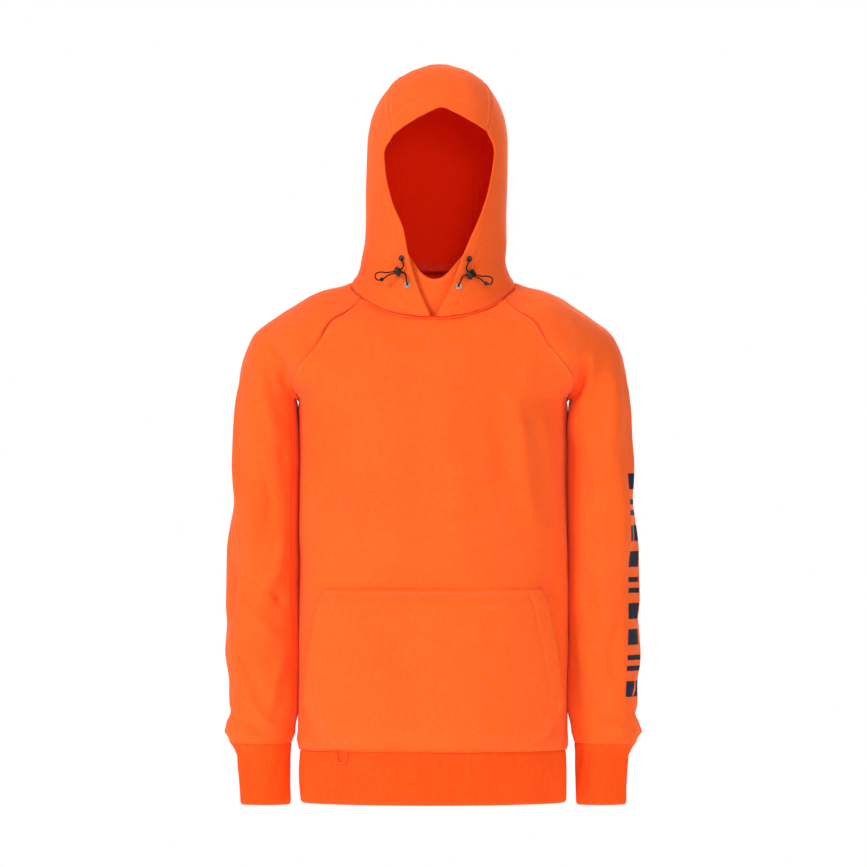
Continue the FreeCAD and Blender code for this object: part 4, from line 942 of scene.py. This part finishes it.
# ---------------------------------------------------------------- rib hem band and cuffs
def rib_band(name, rings, pitch, depth, mats, centre_x=0.0, thickness=3.0, per=8):
    """rings: (z, cx, a, b, extra) from top to bottom; ribs run up and down."""
    a0, b0 = rings[len(rings) // 2][2:4]
    circ = math.pi * (3 * (a0 + b0) - math.sqrt((3 * a0 + b0) * (a0 + 3 * b0)))
    nrib = int(round(circ / pitch))
    n = nrib * per
    t0 = np.linspace(0, 2 * math.pi, 4000)
    ds = np.sqrt((a0 * np.sin(t0)) ** 2 + (b0 * np.cos(t0)) ** 2)
    s = np.concatenate([[0], np.cumsum((ds[1:] + ds[:-1]) / 2 * np.diff(t0))])
    t = np.interp(np.arange(n) / n * s[-1], s, t0)
    ph = np.arange(n) / per * 2 * math.pi
    prof = np.sign(np.cos(ph)) * np.abs(np.cos(ph)) ** 0.7
    g = []
    for z, cx, a, b, k in rings:
        wob = 0.5 * np.sin(t * 5 + z * 0.05) + 0.4 * np.sin(t * 11 - z * 0.07)
        nx, ny = np.cos(t) / a, np.sin(t) / b
        ln = np.sqrt(nx ** 2 + ny ** 2)
        d = depth * 0.5 * prof * k + wob
        g.append(np.stack([cx + a * np.cos(t) + nx / ln * d, b * np.sin(t) + ny / ln * d, np.full(n, z) + 0.0 * t], -1))
    g = np.array(g)
    o = shell(name, g, thickness, mats, (centre_x, 0, rings[len(rings) // 2][0]), wrap=True)
    return o, g


a, b, zl, zt = HEM
zs = [zt + 0.3, zt - 1.5, zt - 4, zt - 8] + list(np.linspace(zt - 14, zl + 10, 14)) + [zl + 5, zl + 2.5, zl + 0.9, zl]
rings = []
for z in zs:
    f = (zt - z) / (zt - zl)
    tuck = -2.2 * math.exp(-((zt - z) / 2.2) ** 2) - 1.6 * math.exp(-((z - zl) / 1.6) ** 2)
    swell = 1.6 * math.sin(math.pi * f)
    rings.append((z, 0.0, a + tuck + swell - 0.6, b + tuck + swell - 0.2, 0.35 if z > zt - 1 or z < zl + 1 else 1.0))
hem, hg = rib_band("hem_rib", rings, 3.0, 0.8, [M_RIB, M_INSIDE_PAINTED_BOUNCE])
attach(hem, "garment")
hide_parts("hem_rib_band")
for side, word in ((1, "left"), (-1, "right")):
    zs = [-641.0, -642.2, -644, -647] + list(np.linspace(-651, -719, 16)) + [-723, -726, -727.6, -728.2]
    rings = []
    for z in zs:
        q = [float(np.interp(-z, -CUFF[:, 0], CUFF[:, k])) for k in (1, 2, 3)]
        tuck = -1.6 * math.exp(-((-641 - z) / 2.0) ** 2) - 1.4 * math.exp(-((z + 728) / 1.6) ** 2)
        rings.append((z, side * q[0], q[1] + tuck, q[2] + tuck, 0.35 if z > -643 or z < -727 else 1.0))
    c, cg_ = rib_band(word + "_rib_cuff", rings, 2.9, 0.8, [M_RIB, M_INSIDE_PAINTED_BOUNCE], side * 236.0)
    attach(c, word + "_arm")
    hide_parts(word + "_cuff")

# ---------------------------------------------------------------- muff pocket
def pocket_lift(P):
    side = np.abs(P[..., 0])
    edge = np.interp(P[..., 2], POCKET_EDGE[:, 0], POCKET_EDGE[:, 1])
    low = sm((P[..., 2] + 648.5) / 26.0)
    top = sm((-425.0 - P[..., 2]) / 22.0)
    corner = sm((P[..., 2] + 604.0) / 26.0)
    near = sm((edge - side) / 24.0)
    return 3.2 + 7.2 * low * top * (near + (1 - near) * corner)


zp = -425 - spacing(86, 224.0)[::-1] * 223.5
zp = np.sort(zp)
NP = 140
sp = spacing(NP, 320.0) * 2 - 1
rows = []
for z in zp:
    x = float(pchip(POCKET_EDGE[:, 0], POCKET_EDGE[:, 1], z))
    te = math.asin(min(1.0, float((x / tr(z, 1)) ** (tr(z, 4) / 2))))
    px, py = trunk_pt(te * sp, np.full(NP, z), False)
    rows.append(np.stack([px, py, np.full(NP, z)], -1))
PK = np.array(rows)
pn = grid_normals(PK, (0, 0, -540))
lift = pocket_lift(PK)
P0 = PK.reshape(-1, 3)
fo = (fold(P0, pn.reshape(-1, 3), [
    (L((335, 600), (380, 640), (400, 700)), 16, 1.6), (L((520, 600), (500, 650), (505, 715)), 15, 1.8), (L((430, 600), (436, 660), (430, 730)), 24, 1.2),
    (L((350, 730), (430, 722), (515, 732)), 12, 1.6)], "front") + soft_noise(P0, 60, 1.3, 23.0)).reshape(PK.shape[:2])
lu = np.concatenate([np.zeros((PK.shape[0], 1)), np.cumsum(np.linalg.norm(np.diff(PK, axis=1), axis=-1), axis=1)], 1)
lv = np.concatenate([np.zeros((1, NP)), np.cumsum(np.linalg.norm(np.diff(PK, axis=0), axis=-1), axis=0)], 0)
pd = {"f": lu, "l": lu[:, -1:] - lu, "b": lv, "t": lv[-1:] - lv}
d = lift + fo * sm(pd["b"] / 18) * sm(pd["t"] / 18)
for s_ in "bt":
    d = d - 1.8 * np.exp(-(pd[s_] / 2.0) ** 1.5) + 0.5 * np.exp(-((pd[s_] - 6.0) / 3.0) ** 2)
for s_ in "fl":
    hemw = 24.0
    d = d - 0.9 * np.exp(-((pd[s_] - hemw) / 2.0) ** 2) + 0.7 * sm((hemw - pd[s_]) / 4.0) - 1.0 * np.exp(-(pd[s_] / 1.4) ** 1.5)
pocket_g = PK + pn * d[..., None]
st = Stitches()
seam_stitch(st, pocket_g, (0, 0, -540), pd, "fl", (24.0,), 2)
seam_stitch(st, pocket_g, (0, 0, -540), pd, "t", (3.8, 6.2), 2)
pocket = shell("muff_pocket", pocket_g, 2.6, [M_FLEECE, M_INSIDE_PAINTED_BOUNCE], (0, 0, -540))
joined("muff_pocket", pocket, st)
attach(pocket, "garment")
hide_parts("hand_warmer_muff_pocket")
declare(pocket, pocket_g)

# ---------------------------------------------------------------- hood
def centre_x(k):
    return (np.interp(k, [0, 4, 7, 12, 16, 20], [-52, -53, -50, -49, -51, -54]), np.interp(k, [0, 4, 7, 12, 16, 20], [72, 76, 70, 63, 60, 57]))


def crown(x):
    x = np.asarray(x, float)
    lo, hi = np.full(x.shape, 160.0), np.full(x.shape, 306.4)
    for _ in range(36):
        m = (lo + hi) / 2
        out = hood_f(np.stack([x, np.full(x.shape, 13.0), m], -1)) > 1
        hi, lo = np.where(out, m, hi), np.where(out, lo, m)
    return np.stack([x, np.full(x.shape, 13.0), lo], -1)


NC = 64
uc = spacing(NC, 120.0)
_q = np.linspace(0, 6, 121)
_x, _z = np.interp(_q, np.arange(7), FACE_TOP[:, 0]), np.interp(_q, np.arange(7), FACE_TOP[:, 1])
_z = np.convolve(np.pad(_z, 5, mode="edge"), np.ones(11) / 11, "valid")
ft = resample(hood_xz(_x, _z, -1), NC, True)
r7, l7 = centre_x(7)
ridge_pts = crown(r7 + (l7 - r7) * uc)
kk = np.concatenate([[0, 0.06, 0.16, 0.3, 0.5], np.linspace(0.8, 19.4, 96), [19.7, 19.85, 19.94, 20.0]])
cg = []
for k in kk:
    r, l = centre_x(k)
    x = r + (l - r) * uc
    if k <= 7:
        f = k / 7.0
        p = on_hood(ft * (1 - f) + ridge_pts * f)
    elif k <= 13:
        f = (k - 7) / 6.0
        p = on_hood(ridge_pts * (1 - f) + hood_xz(x, np.full(NC, 160.0), 1) * f)
    else:
        f = (k - 13) / 7.0
        z = np.full(NC, 160.0)
        yb = hood_xz(x, np.full(NC, 14.0), 1)[:, 1]
        z = 160 + f * (seam_z(yb) + 0.6 - 160)
        p = hood_xz(x, z, 1)
    cg.append(p)
cg = np.array(cg)


def casing(width, sides):
    def f(dist):
        d = 0
        for s_ in sides:
            d = d + 1.1 * sm((width - dist[s_]) / 4.0) - 0.8 * np.exp(-((dist[s_] - width) / 1.8) ** 2)
            d = d - 1.4 * np.exp(-(dist[s_] / 1.5) ** 1.4)
        return d
    return f


def hood_panel(name, g, centre, open_sides, seam_sides, stitch, eyes=()):
    q, dist = folded(g, centre, "hood", edge_roll=0.9, roll_sides=seam_sides)
    n = grid_normals(q, centre)
    q = q + n * (casing(24.0, open_sides)(dist))[..., None]
    for e_ in eyes:
        k_ = 1 - sm((np.linalg.norm(g - e_, axis=-1) - 5.5) / 8.0)
        q = q * (1 - k_[..., None]) + (g - n * 0.25) * k_[..., None]
    s = Stitches()
    seam_stitch(s, q, centre, dist, stitch, (3.8, 6.2), 2)
    seam_stitch(s, q, centre, dist, open_sides, (24.0,), 2)
    o = shell(name, q, 2.6, [M_FLEECE, M_INSIDE_PAINTED_BOUNCE], centre, holes=eyes)
    joined(name, o, s)
    return o, q


hood_c, hcg = hood_panel("hood_centre", cg, (6, 10, 150), "b", "tfl", "fl")
hoods = [(hood_c, hcg, ["hood_centre_panel", "hood_centre_panel_foot"])]
for side, word in ((1, "left"), (-1, "right")):
    edge = cg[:, -1 if side > 0 else 0]
    i7 = int(np.argmin(np.abs(kk - 7)))
    nu, nv = 84, 96
    us_, vs_ = spacing(nu, 220.0), spacing(nv, 260.0)
    topc = resample(edge[:i7 + 1], nu, True)
    bk = resample(edge[i7:][::-1], nv, True)
    face = FACE_LEFT if side > 0 else FACE_RIGHT
    kq = np.linspace(0, len(face) - 1, 90)
    fx, fz = pchip(np.arange(len(face)), face[:, 0], kq), pchip(np.arange(len(face)), face[:, 1], kq)
    fp = hood_xz(fx, fz, -1)
    fp[0, 2] = seam_z(fp[0, 1]) + 0.5
    fp[-1] = topc[0]
    fr = resample(fp, nv, True)
    p0, p1 = fr[0], bk[0]
    t0 = math.asin((p0[0] - float(hmid(p0[2]))) / float(ho(p0[2], 1)))
    t1 = math.pi - math.asin(p1[0] / float(ho(p1[2], 1))) if side > 0 else -math.pi - math.asin(p1[0] / float(ho(p1[2], 1)))
    bot = hood_ring(np.linspace(t0, t1, 160), lambda y: seam_z(y) + 0.6)
    bot[0], bot[-1] = p0, p1
    bot = resample(bot, nu, True)
    g = coons(bot, topc, fr, bk, us_, vs_)
    inner = on_hood(g)
    inner[0], inner[-1], inner[:, 0], inner[:, -1] = g[0], g[-1], g[:, 0], g[:, -1]
    spots = ((50.4, 33.0), (35.3, -4.8)) if side > 0 else ((-43.6, 34.0), (-35.5, -3.0))
    o, q = hood_panel(word + "_hood_side", inner, (6, 10, 140), "f", "btl", "tlb", [hood_xz(x_, z_, -1) for x_, z_ in spots])
    hoods.append((o, q, [word + "_hood_panel", word + "_hood_panel_foot"]))
for o, q, nodes in hoods:
    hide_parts(*nodes)
    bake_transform(o)
    declare(o, q)

# ---------------------------------------------------------------- inner collar, tape, hanger loop
nc, nr = 240, 26
t = np.linspace(-math.pi, math.pi, nc + 1)[:-1]
rb = hood_ring(t, lambda y: seam_z(y) + 1.0)
cyb = ho(rb[:, 2], 3)
v = np.stack([rb[:, 0] - hmid(rb[:, 2]), rb[:, 1] - cyb, np.zeros(nc)], -1)
rb = rb - v / np.linalg.norm(v, axis=1, keepdims=True) * 8.6
z = np.full(nc, 50.0)
for _ in range(40):
    a_, b_, cy_, cx_ = ho(z, 1), ho(z, 2), ho(z, 3), hmid(z)
    x_, y_ = cx_ + (a_ - 9) * np.sin(t), cy_ - (b_ - 9) * np.cos(t)
    z = 0.5 * z + 0.5 * np.where(y_ < 0, np.interp(x_, COLLAR_TOP[:, 0], COLLAR_TOP[:, 1]), 60.0)
rt = np.stack([x_, y_, z], -1)
k5 = np.ones(9) / 9
rt[:, 2] = np.convolve(np.concatenate([rt[-4:, 2], rt[:, 2], rt[:4, 2]]), k5, "valid")
cgrid = []
for f in np.concatenate([[0, 0.02, 0.05], np.linspace(0.1, 0.9, nr - 7), [0.94, 0.97, 0.99, 1.0]]):
    m = rb * (1 - f) + rt * f
    less = 8.6 + 0.9 * np.sin(t * 7 + 3 * f) * f * 0.5 + (1.2 if f > 0.985 else 0.0)
    cgrid.append(on_hood(m, 0.0) if False else m)
cgrid = np.array(cgrid)
cn = []
for row in cgrid:
    q = on_hood(row, 0.0)
    cy_ = ho(row[:, 2], 3)
    v = np.stack([q[:, 0] - hmid(row[:, 2]), q[:, 1] - cy_, np.zeros(nc)], -1)
    cn.append(q - v / np.linalg.norm(v, axis=1, keepdims=True) * (8.8 + 0.7 * np.sin(t * 6 + row[:, 2] / 14.0))[:, None])
cgrid = np.array(cn)
cst = Stitches()
cnn = grid_normals(np.concatenate([cgrid, cgrid[:, :1]], 1), (0, 0, 10))[:, :-1]
_row = cgrid[-5] + cnn[-5] * 0.1
cst.run(np.vstack([_row, _row[:1]]), np.vstack([cnn[-5], cnn[-5][:1]]))
collar = shell("inner_collar", cgrid, 2.3, [M_FLEECE, M_INSIDE_PAINTED_BOUNCE], (0, 0, 10), wrap=True)
joined("inner_collar", collar, cst)
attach(collar, "garment")
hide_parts("inner_neck_collar")

tz = np.linspace(18, 30, 9)
tg = []
for zq in tz:
    xx_ = np.linspace(-54, 54, 60)
    tg.append(on_hood(np.stack([xx_, np.full(60, 75.0), np.full(60, zq)], -1), 12.2 + 0.25 * math.cos((zq - 24) / 6 * math.pi)))
tg = np.array(tg)
tape = shell("back_neck_tape", tg, 1.2, [M_TAPE], (0, 0, 24))
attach(tape, "garment")
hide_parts("neck_tape")
lo_, hi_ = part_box("hanger_loop")
yy0, yy1 = hi_[1] / MM, lo_[1] / MM
hx = np.linspace(-34, 34, 50)
hy = yy0 - (yy0 - yy1 - 1.2) * np.sin(np.pi * (hx + 34) / 68.0) ** 0.8
lg = np.array([np.stack([hx, hy, np.full(50, zq)], -1) for zq in np.linspace(18.9, 29.1, 7)])
hang = shell("hanger_tape_loop", lg, 1.1, [M_TAPE], (0, 120, 24))
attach(hang, "garment")
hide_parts("hanger_loop")


# ---------------------------------------------------------------- cords
def nurbs(name, pts, dia, mat):
    cu = bpy.data.curves.new(name, "CURVE")
    cu.dimensions = "3D"
    sp_ = cu.splines.new("NURBS")
    sp_.points.add(len(pts) - 1)
    for q, p in zip(sp_.points, pts):
        q.co = (p[0] * MM, p[1] * MM, p[2] * MM, 1.0)
    sp_.order_u = 3
    sp_.use_endpoint_u = True
    sp_.resolution_u = 10
    cu.bevel_depth = dia / 2 * MM
    cu.bevel_resolution = 4
    cu.use_fill_caps = True
    cu.materials.append(mat)
    o = bpy.data.objects.new(name, cu)
    scene.collection.objects.link(o)
    return o


def hood_point(x, z):
    p = hood_xz(x, z, -1)
    n = np.cross(hood_xz(x + 1, z, -1) - hood_xz(x - 1, z, -1), hood_xz(x, z + 3, -1) - hood_xz(x, z - 3, -1))
    n /= np.linalg.norm(n)
    return p, (n if n[1] < 0 else -n)


LOCKS = {
    "left": dict(up=(50.4, 33.0), low=(35.3, -4.8), lock=(53.0, 11.5), aim=(-0.30, -0.94, -0.14), out=(0.965, 0, -0.261)),
    "right": dict(up=(-43.6, 34.0), low=(-35.5, -3.0), lock=(-49.0, 15.5), aim=(-0.06, -1.0, 0.0), out=(-0.972, 0, -0.237)),
}
for word, g_ in LOCKS.items():
    eu, nu_ = hood_point(*g_["up"])
    el, nl = hood_point(*g_["low"])
    p, _ = hood_point(*g_["lock"])
    aim = np.array(g_["aim"]) / np.linalg.norm(g_["aim"])
    out = np.array(g_["out"]) - aim * np.dot(g_["out"], aim)
    out /= np.linalg.norm(out)
    up = np.cross(aim, out)
    if up[2] < 0:
        up = -up
    C = np.array([g_["lock"][0], p[1] - 10.0, g_["lock"][1]])
    w = lambda x, y, z: C + out * x + aim * y + up * z
    h_ = 1.25
    pts = [eu - nu_ * 3.6, eu + nu_ * 4.6, w(-11.5, -0.4, h_), w(15.0, 0, h_), w(22.5, 0, 5.2), w(32.0, 0, 4.6), w(32.0, 0, -5.6),
           w(20.5, 0, -5.6), w(15.0, 0, -h_), w(-11.5, -0.4, -h_), el + nl * 4.6, el - nl * 3.6]
    c = nurbs(word + "_face_drawcord", pts, 2.0, M_CORD_B)
    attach(c, "garment")
    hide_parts(word + "_drawcord")
    bpy.context.view_layer.update()


def hem_y(x):
    return -HEM[1] * math.sqrt(1 - (x / HEM[0]) ** 2)


lp = [(-134.0, hem_y(-134.0) + 1.6, -651.5), (-134.0, hem_y(-134.0) - 3.4, -654.5), (-132.0, hem_y(-132.0) - 3.0, -667.5),
      (-121.5, hem_y(-121.5) - 3.0, -667.0), (-118.6, hem_y(-118.6) - 3.4, -654.5), (-118.6, hem_y(-118.6) + 1.6, -651.5)]
ul = nurbs("hem_cord_loop", lp, 2.5, M_CORD_O)
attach(ul, "garment")
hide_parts("utility_loop")

# ---------------------------------------------------------------- CAD pieces that stay
for n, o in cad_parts.items():
    m = None
    if "upper_eyelet" in n:
        m = M_BLACK_METAL
    elif "lower_eyelet" in n:
        m = M_SILVER
    elif "bead" in n or "barrel" in n or "plunger" in n:
        m = M_PLASTIC
    elif "spring" in n:
        m = M_SILVER
    if m is not None:
        o.data.materials.clear()
        o.data.materials.append(m)

# ---------------------------------------------------------------- studio
def stage_mat(name, rgb, emit=0.0):
    m, nt, s = new_mat(name)
    s.inputs["Base Color"].default_value = rgb
    s.inputs["Roughness"].default_value = 0.9
    if emit:
        s.inputs["Emission Color"].default_value = (1, 1, 1, 1)
        s.inputs["Emission Strength"].default_value = emit
    return m


bm = bmesh.new()
bm.faces.new([bm.verts.new((2.6 * math.cos(a), 2.6 * math.sin(a), -0.98)) for a in np.linspace(0, 2 * math.pi, 96, endpoint=False)])
me = bpy.data.meshes.new("studio_floor")
bm.to_mesh(me)
bm.free()
me.polygons.foreach_set("use_smooth", [True] * len(me.polygons))
me.materials.append(stage_mat("pale_floor", (0.93, 0.93, 0.93, 1), 0.5))
floor = bpy.data.objects.new("studio_floor", me)
scene.collection.objects.link(floor)


def area_light(name, loc, target, size, energy, color=(1, 1, 1)):
    d = bpy.data.lights.new(name, "AREA")
    d.shape = "RECTANGLE"
    d.size, d.size_y = size
    d.energy = energy
    d.color = color
    o = bpy.data.objects.new(name, d)
    scene.collection.objects.link(o)
    o.location = loc
    o.rotation_euler = (Vector(target) - Vector(loc)).to_track_quat("-Z", "Y").to_euler()
    return o


area_light("key", (-2.7, -2.5, 1.7), (0, 0, -0.25), (1.1, 1.4), 106)
area_light("front", (0.5, -3.9, 0.7), (0, 0, -0.1), (1.0, 1.0), 31)
area_light("fill", (2.7, -1.9, 0.2), (0, 0, -0.3), (1.6, 2.2), 17)
area_light("top", (0.3, -0.1, 2.5), (0, 0, -0.1), (1.6, 1.4), 26)
area_light("back", (0.0, 2.2, 1.9), (0, 0, 0.0), (2.0, 1.2), 16)
area_light("back_key", (1.3, 3.7, 1.0), (0, 0, -0.25), (1.2, 1.4), 80)
area_light("back_fill", (-1.5, 3.7, 0.2), (0, 0, -0.25), (1.2, 1.4), 36)
wd = bpy.data.worlds.new("studio")
scene.world = wd
wd.use_nodes = True
wn = wd.node_tree
soft_sky = wn.nodes["Background"]
soft_sky.inputs[0].default_value = (1, 1, 1, 1)
soft_sky.inputs[1].default_value = 0.15
paper = wn.nodes.new("ShaderNodeBackground")
paper.inputs[0].default_value = (1, 1, 1, 1)
paper.inputs[1].default_value = 1.0
seen = wn.nodes.new("ShaderNodeLightPath")
both = wn.nodes.new("ShaderNodeMixShader")
wn.links.new(seen.outputs["Is Camera Ray"], both.inputs[0])
wn.links.new(soft_sky.outputs[0], both.inputs[1])
wn.links.new(paper.outputs[0], both.inputs[2])
wn.links.new(both.outputs[0], wn.nodes["World Output"].inputs[0])
scene.view_settings.view_transform = "Standard"
scene.view_settings.look = "None"

D = 11.0
cam = bpy.data.cameras.new("cam")
cam.sensor_width = 36.0
cam.lens = 36.0 * D / (867 * 1.4 * MM)
co = bpy.data.objects.new("cam", cam)
scene.collection.objects.link(co)
co.location = (0.0007, -D, (284 - 433.5) * 1.4 * MM)
co.rotation_euler = (math.pi / 2, 0, 0)
scene.camera = co
